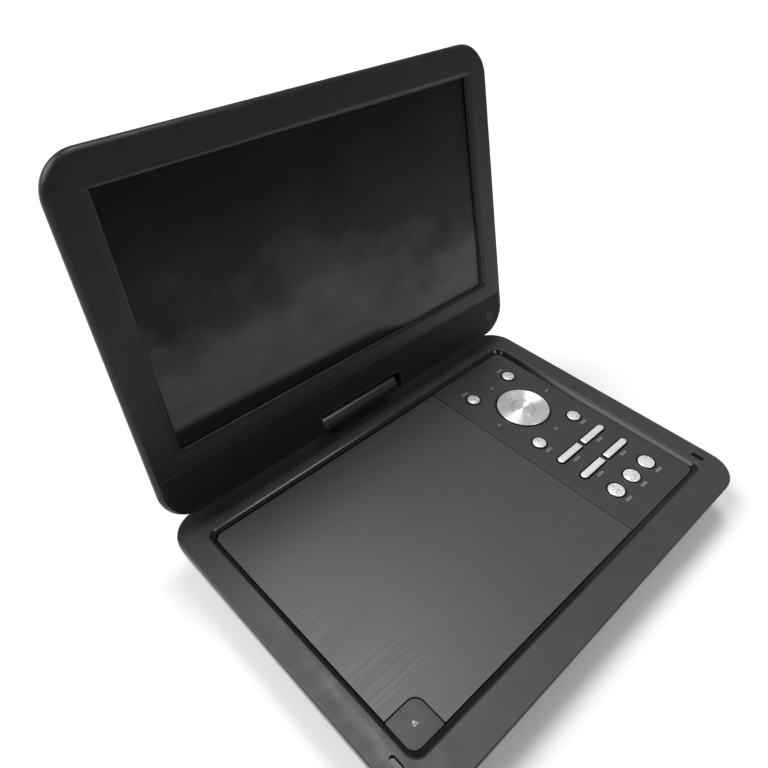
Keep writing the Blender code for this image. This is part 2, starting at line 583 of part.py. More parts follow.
def screen_bezel(finish, tilt):
    """The front shell: a frame round the display with a chamfered opening."""
    lip = SCREEN_FRONT - FRAME_DEPTH
    under = lip - 0.6 * MM
    roof = SCREEN_FRONT - 1.9 * MM
    shell = hoop(
        (screen_outline(SEAM_INSET), SCREEN_SEAM),
        (screen_outline(0), SCREEN_FRONT - 4 * MM),
        (screen_outline(0), SCREEN_FRONT - 3 * MM),
        (screen_outline(0.6 * MM), SCREEN_FRONT - 1.3 * MM),
        (screen_outline(1.9 * MM), SCREEN_FRONT),
        (rounded_rect(*FRAME_OUTER), SCREEN_FRONT),
        (rounded_rect(*FRAME_INNER), lip),
        (rounded_rect(*FRAME_INNER), under),
        (rounded_rect(*grown(FRAME_OUTER, 2 * MM)), under),
        (rounded_rect(*grown(FRAME_OUTER, 2.4 * MM)), roof),
        (screen_outline(WALL), roof),
        (screen_outline(SEAM_INSET + WALL), SCREEN_SEAM),
    )
    bezel = make("screen_bezel", [shell], finish, tilt)
    join(bezel, notch_wall(SCREEN_SEAM, roof + MM))
    notch, shaft = notch_cutters()
    cut(bezel, notch, prism(circle(IR_X, IR_Y, IR_R + GAP, 12), 4 * MM, 10 * MM))
    cut(bezel, shaft)


def notch_wall(low, high):
    return box(-NOTCH_X - WALL, NOTCH_X + WALL, SCREEN_LOW + 1.5 * MM, NOTCH_Y + WALL, low, high)


def screen_back(finish, tilt):
    """The rear shell: a dish whose sides draw in towards its back."""
    sides = [(0.9, 1.1), (1.6, -1.6), (3.2, -4.2), (5.4, -5.9), (8, -6.6)]
    outer = [(screen_outline(inset * MM), z * MM) for inset, z in sides]
    floor = SCREEN_BACK + WALL
    inner = [(screen_outline(8 * MM), floor), (screen_outline(4.2 * MM), -2.4 * MM)]
    inner.append((screen_outline(SEAM_INSET + WALL), sides[0][1] * MM))
    back = make("screen_back", [stack(*inner, *outer)], finish, tilt)
    join(back, notch_wall(floor - MM, sides[0][1] * MM - 0.1 * MM))
    notch, shaft = notch_cutters()
    cut(back, notch)
    cut(back, shaft)


def screen_inside(finishes, tilt):
    panel = rounded_rect(*grown(FRAME_INNER, 2.3 * MM), 2)
    top = SCREEN_FRONT - FRAME_DEPTH - 0.9 * MM
    make("lcd_panel", [prism(panel, top - 3.4 * MM, top)], finishes["display"], tilt)
    board = rounded_rect(-60 * MM, 60 * MM, 45 * MM, 105 * MM, 2 * MM, 2)
    make("driver_board", [prism(board, -3.6 * MM, -2 * MM)], finishes["board"], tilt)
    for side, x in (("left", -78 * MM), ("right", 78 * MM)):
        frame = rounded_rect(x - 20 * MM, x + 20 * MM, 6 * MM, 24 * MM, 8.9 * MM, 4)
        make(f"speaker_{side}", [prism(frame, -2 * MM, 4.5 * MM)], finishes["black"], tilt)
    window = prism(circle(IR_X, IR_Y, IR_R, 12), 5.8 * MM, SCREEN_FRONT - 0.2 * MM)
    make("ir_window", [window], finishes["lens"], tilt)


def build():
    clear_scene()
    finishes = {
        "case": material("case_plastic", (0.03, 0.03, 0.033), 0.45),
        "lid": material("lid_plastic", (0.045, 0.045, 0.05), 0.5),
        "bezel": material("bezel_plastic", (0.02, 0.02, 0.022), 0.4),
        "black": material("black_plastic", (0.015, 0.015, 0.016), 0.5),
        "silver": material("silver_keys", (0.75, 0.75, 0.76), 0.3, 1.0),
        "steel": material("steel", (0.55, 0.56, 0.58), 0.35, 1.0),
        "rubber": material("rubber", (0.02, 0.02, 0.02), 0.9),
        "board": material("circuit_board", (0.02, 0.16, 0.06), 0.5),
        "battery": material("battery_wrap", (0.05, 0.09, 0.2), 0.6),
        "display": material("display", (0.01, 0.01, 0.012), 0.1),
        "lens": material("lens", (0.03, 0.02, 0.05), 0.05),
    }
    player = axis_empty("player", None, (0, BASE_Y, 0))
    swivel = axis_empty("swivel_axis", player, (0, HINGE_Y, 0))
    tilt = axis_empty("tilt_axis", swivel, (0, 0, HINGE_Z), math.pi - OPEN_ANGLE)
    base_top_case(finishes["case"], player)
    base_bottom_case(finishes["case"], player)
    feet_and_screws(finishes["rubber"], finishes["steel"], player)
    hinge_bracket(finishes["steel"], player)
    disc_lid(finishes["lid"], player)
    lid_hinge_pins(finishes["steel"], player)
    disc_deck(finishes["black"], player)
    open_button(finishes["lid"], player)
    lid_latch(finishes["black"], player)
    drive(finishes, player)
    key_panel(finishes["lid"], player)
    keys(finishes, player)
    electronics(finishes, player)
    side_controls(finishes, player)
    hinge_barrel(finishes["bezel"], swivel)
    tilt_shafts(finishes["steel"], tilt)
    screen_bezel(finishes["bezel"], tilt)
    screen_back(finishes["case"], tilt)
    screen_inside(finishes, tilt)


build()
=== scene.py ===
"""The looks of a portable DVD player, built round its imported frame.

Pieces are drawn in millimetres and made in metres. The base's are measured from the base's centre at
floor height, and the screen's from its tilt axis: x across, y up the screen, z towards the viewer.
"""

import json
import math

import bmesh
import bpy
from mathutils import Matrix, Vector


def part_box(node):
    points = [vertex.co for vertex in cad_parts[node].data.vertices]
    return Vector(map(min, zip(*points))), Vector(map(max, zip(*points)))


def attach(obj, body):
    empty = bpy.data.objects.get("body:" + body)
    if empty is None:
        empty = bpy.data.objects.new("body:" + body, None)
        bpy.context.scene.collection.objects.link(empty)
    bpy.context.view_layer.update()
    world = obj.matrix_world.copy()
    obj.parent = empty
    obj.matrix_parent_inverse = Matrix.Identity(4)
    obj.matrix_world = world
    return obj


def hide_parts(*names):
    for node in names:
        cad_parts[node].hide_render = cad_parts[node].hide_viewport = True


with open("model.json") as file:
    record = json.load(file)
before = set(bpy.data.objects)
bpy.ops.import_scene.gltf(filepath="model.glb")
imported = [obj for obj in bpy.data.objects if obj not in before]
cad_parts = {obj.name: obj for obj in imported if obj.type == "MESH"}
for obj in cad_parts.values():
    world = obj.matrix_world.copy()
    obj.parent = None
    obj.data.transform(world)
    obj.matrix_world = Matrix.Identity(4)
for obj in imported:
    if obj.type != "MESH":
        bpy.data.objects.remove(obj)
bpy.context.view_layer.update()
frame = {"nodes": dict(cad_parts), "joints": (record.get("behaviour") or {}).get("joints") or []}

MM = 0.001
CORNER_STEPS, ROUND_STEPS = 14, 48
SHARP = math.radians(38)
EDGE = 0.18  # the small radius on a moulded edge
GAP = 0.3
SAME = 0.001  # points closer than this are one
LEAST_R = 0.03


def cad_range(node_name):
    """A CAD node's lowest and highest corners, in millimetres."""
    return [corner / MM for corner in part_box(node_name)]


# The base
CASE_LOW, CASE_HIGH = cad_range("base_top_case")
CASE_X, CASE_Y, CASE_CORNER = CASE_HIGH.x, 91.8, 17.2
BASE_Y = CASE_LOW.y + CASE_Y
BASE = Matrix.Translation((0, BASE_Y * MM, 0))
RIM_Z = CASE_HIGH.z
SEAM_Z = cad_range("base_bottom_case")[1].z
FACE_Z = cad_range("control_panel")[1].z
WALL = 2
WIDEST_Z, CASE_BOTTOM = RIM_Z - 2.2, 2
SIDE_LEAN, SIDE_CURL = 3.6, 10
RECESS_TOP = (-117, 117, -76, 75.5, 6.5)
RECESS_FLOOR = (-114, 114, -72, 72.4, 4.5)
BULGE_R, SWIVEL_R = 10.6, 6.25

# The screen
TILT = next(joint for joint in frame["joints"] if joint["name"] == "screen_tilt")
LEAN = math.radians(TILT["range_deg"][1])
SCREEN = Matrix.Translation(TILT["pos_m"]) @ Matrix.Rotation(LEAN, 4, "X")
HINGE_Y, HINGE_Z = TILT["pos_m"][1] / MM - BASE_Y, TILT["pos_m"][2] / MM
SCREEN_LOW, SCREEN_TOP, SCREEN_CORNER = -3.4, 178.3, 18.8
SCREEN_FRONT, SCREEN_BACK, SCREEN_SEAM = 8.4, -6.6, 1.4
SEAM_INSET, CREASE = 0.8, 1.9
FRAME_OUTER = (-115.6, 115.6, 32.1, 163.6, 2.6)
FRAME_INNER = (-111.4, 111.4, 34.6, 161.2, 0.5)
FRAME_DEPTH = 1.6
NOTCH_X, NOTCH_Y = 30.5, 9.2
BARREL_X, BARREL_R = 29.3, 6.2
SHAFT_R, SHAFT_OUTER = 2.2, 46
IR_X, IR_Y, IR_R = 116.7, 9.3, 2
GRILLE_TOP, GRILLE_PITCH, GRILLE_HOLE = 25, 1.5, 0.48


# Outlines and solids


def rounded_rect(x0, x1, y0, y1, radii, steps=CORNER_STEPS):
    """A rectangle's outline, anticlockwise. Radii: front right, back right, back left, front left."""
    if not isinstance(radii, tuple):
        radii = (radii,) * 4
    corners = ((x1, y0, -1, 1), (x1, y1, -1, -1), (x0, y1, 1, -1), (x0, y0, 1, 1))
    points = []
    for i, ((x, y, dx, dy), r) in enumerate(zip(corners, radii)):
        for k in range(steps + 1):
            angle = math.radians(90 * (i - 1 + k / steps))
            point = (x + dx * r + r * math.cos(angle), y + dy * r + r * math.sin(angle))
            if not points or math.dist(point, points[-1]) > SAME:
                points.append(point)
    if math.dist(points[0], points[-1]) < SAME:
        points.pop()
    return points


def centred(x, y, half_x, half_y, radii, steps=CORNER_STEPS):
    return rounded_rect(x - half_x, x + half_x, y - half_y, y + half_y, radii, steps)


def circle(x, y, r, steps=ROUND_STEPS):
    angles = [2 * math.pi * k / steps for k in range(steps)]
    return [(x + r * math.cos(a), y + r * math.sin(a)) for a in angles]


def grown(sizes, d):
    """A rounded rectangle's five sizes, grown by d on every side, with no corner quite sharp."""
    x0, x1, y0, y1, radii = sizes
    if not isinstance(radii, tuple):
        radii = (radii,) * 4
    return x0 - d, x1 + d, y0 - d, y1 + d, tuple(max(r + d, LEAST_R) for r in radii)


def blended(first, second, share):
    """The outline that lies the given share of the way from one outline to another."""
    return [(a + (c - a) * share, b + (d - b) * share) for (a, b), (c, d) in zip(first, second)]


def quarter(start, end, steps=6):
    """Pairs (radius or offset, height) along a quarter round, upright at its start and level at its end."""
    (a, low), (b, high) = start, end
    angles = [math.pi / 2 * k / steps for k in range(steps + 1)]
    return [(b + (a - b) * math.cos(t), low + (high - low) * math.sin(t)) for t in angles]


def soft_top(sizes, low, high, r, steps=6):
    """Outlines, each with its height, that round off the top of a rounded rectangle."""
    return [(rounded_rect(*grown(sizes, -o)), z) for o, z in quarter((0, low), (r, high), steps)]


def stack(*sections):
    """A solid through outlines, each with its height, capped at both ends."""
    return sections, False, None


def hoop(*sections):
    """A closed ring through outlines that run up one side and down the other."""
    return sections, True, None


def turned(x, y, profile, steps=ROUND_STEPS):
    """A round solid from (radius, height) pairs."""
    return stack(*((circle(x, y, r, steps), z) for r, z in profile))


def turned_ring(x, y, profile, steps=ROUND_STEPS):
    return hoop(*((circle(x, y, r, steps), z) for r, z in profile))


def tube(x, y, inner, outer, low, high, steps=ROUND_STEPS):
    return turned_ring(x, y, [(outer, low), (outer, high), (inner, high), (inner, low)], steps)


def rim_groove(sizes, width, low, high):
    """A cutter for a groove just inside a rounded rectangle."""
    outer, inner = rounded_rect(*sizes), rounded_rect(*grown(sizes, -width))
    return hoop((outer, low), (outer, high), (inner, high), (inner, low))


def prism(outline, low, high):
    return stack((outline, low), (outline, high))


def block(x0, x1, y0, y1, z0, z1):
    return prism([(x0, y0), (x1, y0), (x1, y1), (x0, y1)], z0, z1)


def along_x(shape):
    """Outlines in (y, z) and heights in x."""
    return shape[0], shape[1], Matrix(((0, 0, 1), (1, 0, 0), (0, 1, 0))).to_4x4()


def rod(y, z, r, x0, x1, steps=ROUND_STEPS):
    """A round bar from left to right."""
    return along_x(prism(circle(y, z, r, steps), x0, x1))


def vertex(bm, x, y, z):
    return bm.verts.new((x * MM, y * MM, z * MM))


def add_shape(bm, shape):
    sections, ring, turn = shape
    loops = [[vertex(bm, x, y, z) for x, y in outline] for outline, z in sections]
    following = loops[1:] + loops[:1] if ring else loops[1:]
    for low, high in zip(loops, following):
        for i in range(len(low)):
            j = (i + 1) % len(low)
            bm.faces.new((low[i], low[j], high[j], high[i]))
    if not ring:
        bm.faces.new(loops[0])
        bm.faces.new(loops[-1])
    if turn:
        bmesh.ops.transform(bm, matrix=turn, verts=[v for loop in loops for v in loop])


def linked(name, data):
    """A new object in the scene."""
    obj = bpy.data.objects.new(name, data)
    bpy.context.scene.collection.objects.link(obj)
    return obj


def from_bmesh(name, bm, place):
    bmesh.ops.recalc_face_normals(bm, faces=bm.faces)
    bmesh.ops.transform(bm, matrix=place, verts=bm.verts)
    mesh = bpy.data.meshes.new(name)
    bm.to_mesh(mesh)
    bm.free()
    return linked(name, mesh)


def solid(name, shapes, place=BASE):
    bm = bmesh.new()
    for shape in shapes:
        add_shape(bm, shape)
    return from_bmesh(name, bm, place)


def carve(obj, operation, shapes, place):
    """Cuts shapes from a piece, or joins them to it, and keeps the result as its mesh."""
    helper = solid("helper", shapes, place)
    modifier = obj.modifiers.new(operation.title(), "BOOLEAN")
    modifier.operation = operation
    modifier.solver = "EXACT"
    modifier.object = helper
    bpy.context.view_layer.update()
    evaluated = obj.evaluated_get(bpy.context.evaluated_depsgraph_get())
    mesh = bpy.data.meshes.new_from_object(evaluated)
    obj.modifiers.clear()
    obj.data = mesh
    bpy.data.objects.remove(helper)


def cut(obj, *shapes, place=BASE):
    carve(obj, "DIFFERENCE", shapes, place)


def join(obj, *shapes, place=BASE):
    carve(obj, "UNION", shapes, place)


def dress(obj, finish, slot, body, *nodes, edge=EDGE):
    """Gives a piece its material, soft edges and body, and hides the CAD nodes it stands for."""
    obj.data.materials.clear()
    obj.data.materials.append(FINISHES[finish])
    obj.data.shade_smooth()
    if edge:
        bevel = obj.modifiers.new("Edges", "BEVEL")
        bevel.width = edge * MM
        bevel.segments = 2
        bevel.limit_method = "ANGLE"
        bevel.angle_limit = SHARP
        normals = obj.modifiers.new("Normals", "WEIGHTED_NORMAL")
        normals.keep_sharp = True
    else:
        obj.data.set_sharp_from_angle(angle=SHARP)
    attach(obj, body)
    if nodes:
        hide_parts(*nodes)
    return obj


# Materials


def node(tree, kind, inputs=None, **settings):
    """A shader node. An input is a value, or another node's output to link to it."""
    made = tree.nodes.new("ShaderNode" + kind)
    for key, value in settings.items():
        setattr(made, key, value)
    for key, value in (inputs or {}).items():
        socket = made.inputs[key]
        if isinstance(value, bpy.types.NodeSocket):
            tree.links.new(value, socket)
        else:
            socket.default_value = value
    return made


def noise(tree, size, stretch=(1, 1, 1), detail=3.0):
    """Noise with features of the given size in millimetres, in the piece's own space, stretched by axis."""
    place = node(tree, "TexCoord").outputs["Object"]
    scaled = node(tree, "Mapping", {"Vector": place, "Scale": stretch})
    inputs = {"Vector": scaled.outputs[0], "Scale": 1 / (size * MM), "Detail": detail}
    return node(tree, "TexNoise", inputs).outputs["Fac"]


def spread(tree, value, low, high, start=0.3, end=0.7):
    """Maps a noise value onto a range."""
    inputs = {"Value": value, "From Min": start, "From Max": end, "To Min": low, "To Max": high}
    return node(tree, "MapRange", inputs).outputs[0]


def shade(tree, colour, factor):
    """A colour times a factor."""
    return node(tree, "VectorMath", {0: colour, "Scale": factor}, operation="SCALE").outputs[0]


def product(tree, first, second):
    return node(tree, "Math", {0: first, 1: second}, operation="MULTIPLY").outputs[0]


def bump(tree, height, strength, depth):
    inputs = {"Height": height, "Strength": strength, "Distance": depth * MM}
    return node(tree, "Bump", inputs).outputs[0]


def new_material(name):
    made = bpy.data.materials.new(name)
    made.use_nodes = True
    return made, made.node_tree, made.node_tree.nodes["Principled BSDF"]


def link_all(tree, shader, **sockets):
    for key, output in sockets.items():
        tree.links.new(output, shader.inputs[key.replace("_", " ")])


def edge_highlight_and_gloss(tree, low, high):
    """A factor that rises on convex edges: on colour it paints a highlight along them, and on roughness it
    makes them glossier.
    """
    pointiness = node(tree, "NewGeometry").outputs["Pointiness"]
    return spread(tree, pointiness, low, high, 0.52, 0.58)


def moulded(name, colour, roughness, grain=0.25, specular=0.5):
    """Moulded plastic: fine grain, slow changes of tone and sheen, and edges lightened by a painted
    highlight.
    """
    made, tree, shader = new_material(name)
    cloud = noise(tree, 22)
    # Painted highlight: the tone, which varies at random, is lightened by up to a quarter on convex edges.
    tone = product(tree, spread(tree, cloud, 0.92, 1.08), edge_highlight_and_gloss(tree, 1.0, 1.25))
    fine = noise(tree, 0.35, detail=2.0)
    relief = bump(tree, fine, grain, 0.03)
    patches = spread(tree, noise(tree, 9), roughness - 0.04, roughness + 0.05)
    sheen = product(tree, patches, edge_highlight_and_gloss(tree, 1.0, 0.6))
    link_all(tree, shader, Base_Color=shade(tree, colour, tone), Normal=relief, Roughness=sheen)
    shader.inputs["Specular IOR Level"].default_value = specular
    return made


def case_plastic(name, colour, roughness):
    """The base's plastic: satin on the rim; painted shade darkens it towards its back edge and, below the
    rim, on the recess walls and the sides, which are also polished.
    """
    made = moulded(name, colour, roughness, specular=0.4)
    tree = made.node_tree
    shader = tree.nodes["Principled BSDF"]
    place = node(tree, "SeparateXYZ", {0: node(tree, "TexCoord").outputs["Object"]}).outputs
    # Painted shade: below the rim's top the colour falls to 0.3 of the plastic's, on the recess walls and the
    # sides; there it is also glossier, with a lower specular level.
    levels = [(RIM_Z - drop) * MM for drop in (0.5, 0.05)]
    # Painted shadow of the screen: towards the rim's back edge the colour and the specular level fall to
    # half.
    back = spread(tree, place["Y"], 1.0, 0.5, *((BASE_Y + y) * MM for y in (77, 84)))
    tone = product(tree, spread(tree, place["Z"], 0.3, 1.0, *levels), back)
    colour, sheen = (shader.inputs[key].links[0].from_socket for key in ("Base Color", "Roughness"))
    polish = product(tree, sheen, spread(tree, place["Z"], 0.4, 1.0, *levels))
    gloss = product(tree, spread(tree, place["Z"], 0.25, 0.4, *levels), back)
    link_all(tree, shader, Base_Color=shade(tree, colour, tone), Roughness=polish, Specular_IOR_Level=gloss)
    return made


def brushed_plastic(name, colour, roughness):
    """Plastic with fine hairlines that run from side to side."""
    made, tree, shader = new_material(name)
    hairs = noise(tree, 0.22, (0.012, 1, 1), 4.0)
    streaks = noise(tree, 1.6, (0.02, 1, 1), 3.0)
    tone = product(tree, spread(tree, streaks, 0.94, 1.06), spread(tree, hairs, 0.9, 1.1))
    patches = spread(tree, streaks, roughness - 0.035, roughness + 0.035)
    relief = bump(tree, hairs, 0.35, 0.02)
    link_all(tree, shader, Base_Color=shade(tree, colour, tone), Normal=relief, Roughness=patches)
    return made


def metal(name, colour, roughness, grain_size=0.3, stretch=(1, 1, 1), grain=0.12, metallic=1.0):
    """Metal, or bright plating, with fine scratches and uneven polish."""
    made, tree, shader = new_material(name)
    fine = noise(tree, grain_size, stretch, 3.0)
    cloud = noise(tree, 4)
    tone = spread(tree, cloud, 0.93, 1.05)
    polish = spread(tree, fine, roughness - 0.04, roughness + 0.06)
    relief = bump(tree, fine, grain, 0.02)
    link_all(tree, shader, Base_Color=shade(tree, colour, tone), Roughness=polish, Normal=relief)
    shader.inputs["Metallic"].default_value = metallic
    return made


def flecked_silver(name):
    """Bright silver paint with coarse flecks, on the round keys."""
    made = metal(name, (0.9, 0.9, 0.91), 0.22, 1.1, grain=0.6, metallic=0.45)
    tree = made.node_tree
    shader = tree.nodes["Principled BSDF"]
    flecks = spread(tree, noise(tree, 1.3, detail=2.0), 0.6, 1.0, 0.36, 0.5)
    tree.links.new(shade(tree, (0.92, 0.92, 0.93), flecks), shader.inputs["Base Color"])
    return made


def spun_metal(name, colour, roughness):
    """Metal turned on a lathe: its highlight opens into wedges round the centre."""
    made = metal(name, colour, roughness, 0.5, grain=0.05, metallic=0.7)
    tree = made.node_tree
    shader = tree.nodes["Principled BSDF"]
    tangent = node(tree, "Tangent", direction_type="RADIAL", axis="Z").outputs[0]
    tree.links.new(tangent, shader.inputs["Tangent"])
    shader.inputs["Anisotropic"].default_value = 0.9
    shader.inputs["Anisotropic Rotation"].default_value = 0.25
    return made


def glass_front(name, colour, roughness):
    """Dark glass with a faint haze of wiping."""
    made, tree, shader = new_material(name)
    haze = noise(tree, 30, (1, 1.6, 1), 4.0)
    shader.inputs["Specular IOR Level"].default_value = 0.2
    link_all(tree, shader, Base_Color=shade(tree, colour, spread(tree, haze, 0.8, 1.25)),
             Roughness=spread(tree, haze, roughness * 0.7, roughness * 1.4))
    return made


def display_film(name):
    """The matt film of a display that is off, its colour painted: a cloudy painted glow of reflected light,
    brightest in a band low on it and fading towards its top, above a painted dark foot of reflected shade.
    """
    made, tree, shader = new_material(name)
    place = node(tree, "SeparateXYZ", {0: node(tree, "TexCoord").outputs["Generated"]})
    across, height = place.outputs["X"], place.outputs["Z"]
    cloud = noise(tree, 45, (1, 1.4, 1.4), 4.0)
    wavy = node(tree, "Math", {0: height, 1: spread(tree, cloud, -0.14, 0.14)}, operation="ADD").outputs[0]
    # Painted reflected light: the colour is brightest low on the film and fades towards its top; haze here is
    # this painted glow.
    body, top = spread(tree, wavy, 0.075, 0.014, 0.16, 0.52), spread(tree, wavy, 1.0, 0.3, 0.5, 0.9)
    haze = product(tree, body, top)
    ripples = noise(tree, 14, (0.25, 1, 1), 2.0)
    haze = product(tree, haze, spread(tree, ripples, 0.9, 1.1))
    # Painted reflected shade: a dark foot along the bottom edge, tallest at the left and gone at the right.
    wedge, fade = spread(tree, across, 0.1, 0.07, 0.05, 0.6), spread(tree, across, 1.0, 0.0, 0.6, 0.75)
    edge = product(tree, wedge, fade)
    above = node(tree, "Math", {0: height, 1: edge}, operation="SUBTRACT").outputs[0]
    foot = spread(tree, above, 0.1, 1.0, -0.015, 0.015)
    link_all(tree, shader, Base_Color=shade(tree, (1.0, 1.0, 1.04), product(tree, haze, foot)),
             Roughness=spread(tree, cloud, 0.28, 0.42))
    shader.inputs["Specular IOR Level"].default_value = 0.1
    return made


def circuit_board(name):
    """Green solder mask with paler copper tracks under it."""
    made, tree, shader = new_material(name)
    place = node(tree, "TexCoord").outputs["Object"]
    tracks = node(tree, "TexBrick", {"Vector": place, "Scale": 220.0, "Mortar Size": 0.06,
                                     "Color1": (0.015, 0.12, 0.05, 1), "Color2": (0.02, 0.16, 0.07, 1),
                                     "Mortar": (0.05, 0.25, 0.11, 1)})
    link_all(tree, shader, Base_Color=tracks.outputs["Color"],
             Roughness=spread(tree, noise(tree, 3), 0.3, 0.45))
    return made


def materials():
    return {
        "case": case_plastic("case_plastic", (0.034, 0.034, 0.038), 0.42),
        "shell": moulded("shell_plastic", (0.038, 0.038, 0.042), 0.4),
        "underside": moulded("underside_plastic", (0.014, 0.014, 0.015), 0.55, grain=0.4),
        "bezel": moulded("bezel_plastic", (0.0065, 0.0065, 0.0072), 0.36, grain=0.12, specular=0.3),
        "barrel": moulded("barrel_plastic", (0.016, 0.016, 0.017), 0.24, grain=0.1),
        "panel": moulded("panel_plastic", (0.028, 0.0285, 0.03), 0.45, grain=0.15),
        "lid": brushed_plastic("lid_plastic", (0.043, 0.044, 0.049), 0.38),
        "black": moulded("black_plastic", (0.007, 0.007, 0.0075), 0.5, specular=0.3),
        "grille": moulded("grille_plastic", (0.006, 0.006, 0.0066), 0.45, grain=0.1, specular=0.4),
        "print": moulded("print_ink", (0.21, 0.21, 0.215), 0.6, grain=0.1),
        "silver": flecked_silver("key_silver"),
        "satin": metal("satin_silver", (0.8, 0.8, 0.81), 0.38, 0.25, (0.2, 1, 1), 0.2, 0.5),
        "dial": spun_metal("dial_metal", (0.88, 0.89, 0.9), 0.3),
        "steel": metal("steel", (0.55, 0.55, 0.57), 0.32),
        "rubber": moulded("foot_rubber", (0.02, 0.02, 0.02), 0.85, grain=0.5, specular=0.3),
        "board": circuit_board("circuit_board"),
        "battery": moulded("battery_wrap", (0.04, 0.07, 0.16), 0.4, grain=0.1),
        "display": display_film("display_film"),
        "lens": glass_front("lens_glass", (0.006, 0.005, 0.009), 0.2),
    }


FINISHES = materials()


# The base's shells


def base_range(node_name):
    """A node's lowest and highest corners, measured from the base's centre."""
    shift = Vector((0, BASE_Y, 0))
    low, high = cad_range(node_name)
    return low - shift, high - shift


def middle(node_name):
    low, high = base_range(node_name)
    return (low + high) / 2


def placed(node_name):
    """A node's middle, and its lowest and highest corners."""
    return middle(node_name), *base_range(node_name)


def case_outline(inset):
    x, y = CASE_X - inset, CASE_Y - inset
    return rounded_rect(-x, x, -y, y, CASE_CORNER - inset)


def side_section(z, thickness=0):
    """The base's outline at a height: its sides lean in below their widest line and curl under."""
    depth = (WIDEST_Z - z) / (WIDEST_Z - CASE_BOTTOM)
    return case_outline(SIDE_LEAN * depth + SIDE_CURL * depth**4 + thickness), z


def side_opening(outline):
    """A cutter through the right wall, from an outline in (y, z)."""
    return along_x(prism(outline, CASE_X - 5, CASE_X + 2))


def side_openings():
    """Openings for the sockets, the wheel, and the switch with its travel."""
    r, steps, half_travel = 0.7, 4, 1.5
    made = []
    for name in ("usb_socket", "card_socket"):
        low, high = base_range(name)
        sizes = (low.y - GAP, high.y + GAP, low.z - GAP, high.z + GAP, r)
        made.append(side_opening(rounded_rect(*sizes, steps)))
    wheel, switch = middle("volume_wheel"), middle("power_switch")
    for y, half_w, half_h in ((wheel.y, 7.2, 1.8), (switch.y + half_travel, 4.8, 1.7)):
        made.append(side_opening(centred(y, wheel.z, half_w, half_h, r, steps)))
    for name, hole_r in (("headphone_jack", 3.7), ("av_jack", 3.7), ("dc_jack", 4.6)):
        centre = middle(name)
        made.append(side_opening(circle(centre.y, centre.z, hole_r)))
    return made


def rim_slots():
    """Two shallow slots in the rim near the front corners."""
    slot_x, slot_y, half_w, half_l, depth = 121.4, -69.5, 1.5, 3.7, 1.6
    outlines = [centred(x, slot_y, half_w, half_l, 1.4, 8) for x in (-slot_x, slot_x)]
    return [prism(outline, RIM_Z - depth, RIM_Z + 1) for outline in outlines]


def recess_wall():
    """The wall from the rim down to the lid's level: it rolls over from the rim and steepens to its foot."""
    top, foot = rounded_rect(*RECESS_TOP), rounded_rect(*RECESS_FLOOR)
    steps, swell = 16, 1.5
    shares = [k / steps for k in range(steps + 1)]
    return [(blended(top, foot, share), RIM_Z - (RIM_Z - FACE_Z) * share**swell) for share in shares]


def base_top_case():
    """The frame round the lid and the keys: leaning sides, a rounded rim and the recess."""
    low, ledge, roof = SEAM_Z + GAP, FACE_Z - 1.8, RIM_Z - WALL
    rim_edge = [(case_outline(inset), z) for inset, z in quarter((0, RIM_Z - 1), (1, RIM_Z), 8)]
    under = rounded_rect(*grown(RECESS_TOP, 1))
    sides = [side_section(low + (WIDEST_Z - low) * k / 4) for k in range(5)]
    shell = hoop(
        *sides,
        *rim_edge,
        *recess_wall(),
        (rounded_rect(*RECESS_FLOOR), ledge),
        (under, ledge),
        (under, roof),
        (case_outline(WALL), roof),
        side_section(low, WALL),
    )
    case = solid("case_top", [shell])
    boss_edge = quarter((BULGE_R, RIM_Z - 1.5), (BULGE_R - 1.2, RIM_Z - GAP))
    join(case, turned(0, HINGE_Y, [(BULGE_R, SEAM_Z + 2 * GAP), *boss_edge]))
    bore = prism(circle(0, HINGE_Y, SWIVEL_R), SEAM_Z - 2, RIM_Z + 2)
    cut(case, bore, *side_openings(), *rim_slots())
    dress(case, "case", "case_plastic", "base", "base_top_case")


def base_bottom_case():
    """A dish whose sides curve in towards a flat underside with vents, screw holes and a battery door."""
    floor, steps, floor_inset, boss_r, bore_low = CASE_BOTTOM, 18, 15, 3.6, 11.6
    outer = [side_section(SEAM_Z - (SEAM_Z - floor) * k / steps) for k in range(steps + 1)]
    inner = [(case_outline(floor_inset), floor + WALL)]
    inner += [side_section(z, WALL) for z in (7.6, 10.6, 13.6, 16)]
    case = solid("case_bottom", [stack(*inner, *outer)])
    turret = [(6.4, 8.2), (9.4, 11), (BULGE_R - GAP, SEAM_Z - GAP)]
    screws = [middle(f"case_screw_{i}") for i in range(1, 5)]
    bosses = [prism(circle(screw.x, screw.y, boss_r), 3, SEAM_Z - 1) for screw in screws]
    join(case, turned(0, HINGE_Y, turret), *bosses)
    hole = [(3, 1), (3, 4.4), (1.8, 4.4), (1.8, 14)]
    holes = [turned(screw.x, screw.y, hole) for screw in screws]
    cut(case, prism(circle(0, HINGE_Y, SWIVEL_R), bore_low, SEAM_Z + 1), *holes)
    cut(case, *vents(floor), *battery_door_line(floor))
    dress(case, "underside", "case_plastic", "base", "base_bottom_case", edge=0.12)


def vents(floor):
    """Rows of narrow vents in the underside."""
    first_x, row_pitch, column_pitch, half_w, half_l, depth = -42, 5, 24, 0.9, 9, 0.9
    made = []
    for row in range(9):
        for column in (-1, 0, 1):
            x, y = first_x + row * row_pitch, column * column_pitch - 2
            made.append(prism(centred(x, y, half_w, half_l, 0.85, 5), floor - 1, floor + depth))
    return made


def battery_door_line(floor):
    """The groove round the battery door, and the finger ribs beside its catch."""
    door, groove, rib_pitch = (48, 100, -50, 48, 4), 0.5, 2
    made = [rim_groove(door, groove, floor - 1, floor + 0.6)]
    for k in range(5):
        y = 34 + k * rib_pitch
        made.append(prism(rounded_rect(66, 82, y, y + 1, 0.45, 4), floor - 1, floor + 0.5))
    return made


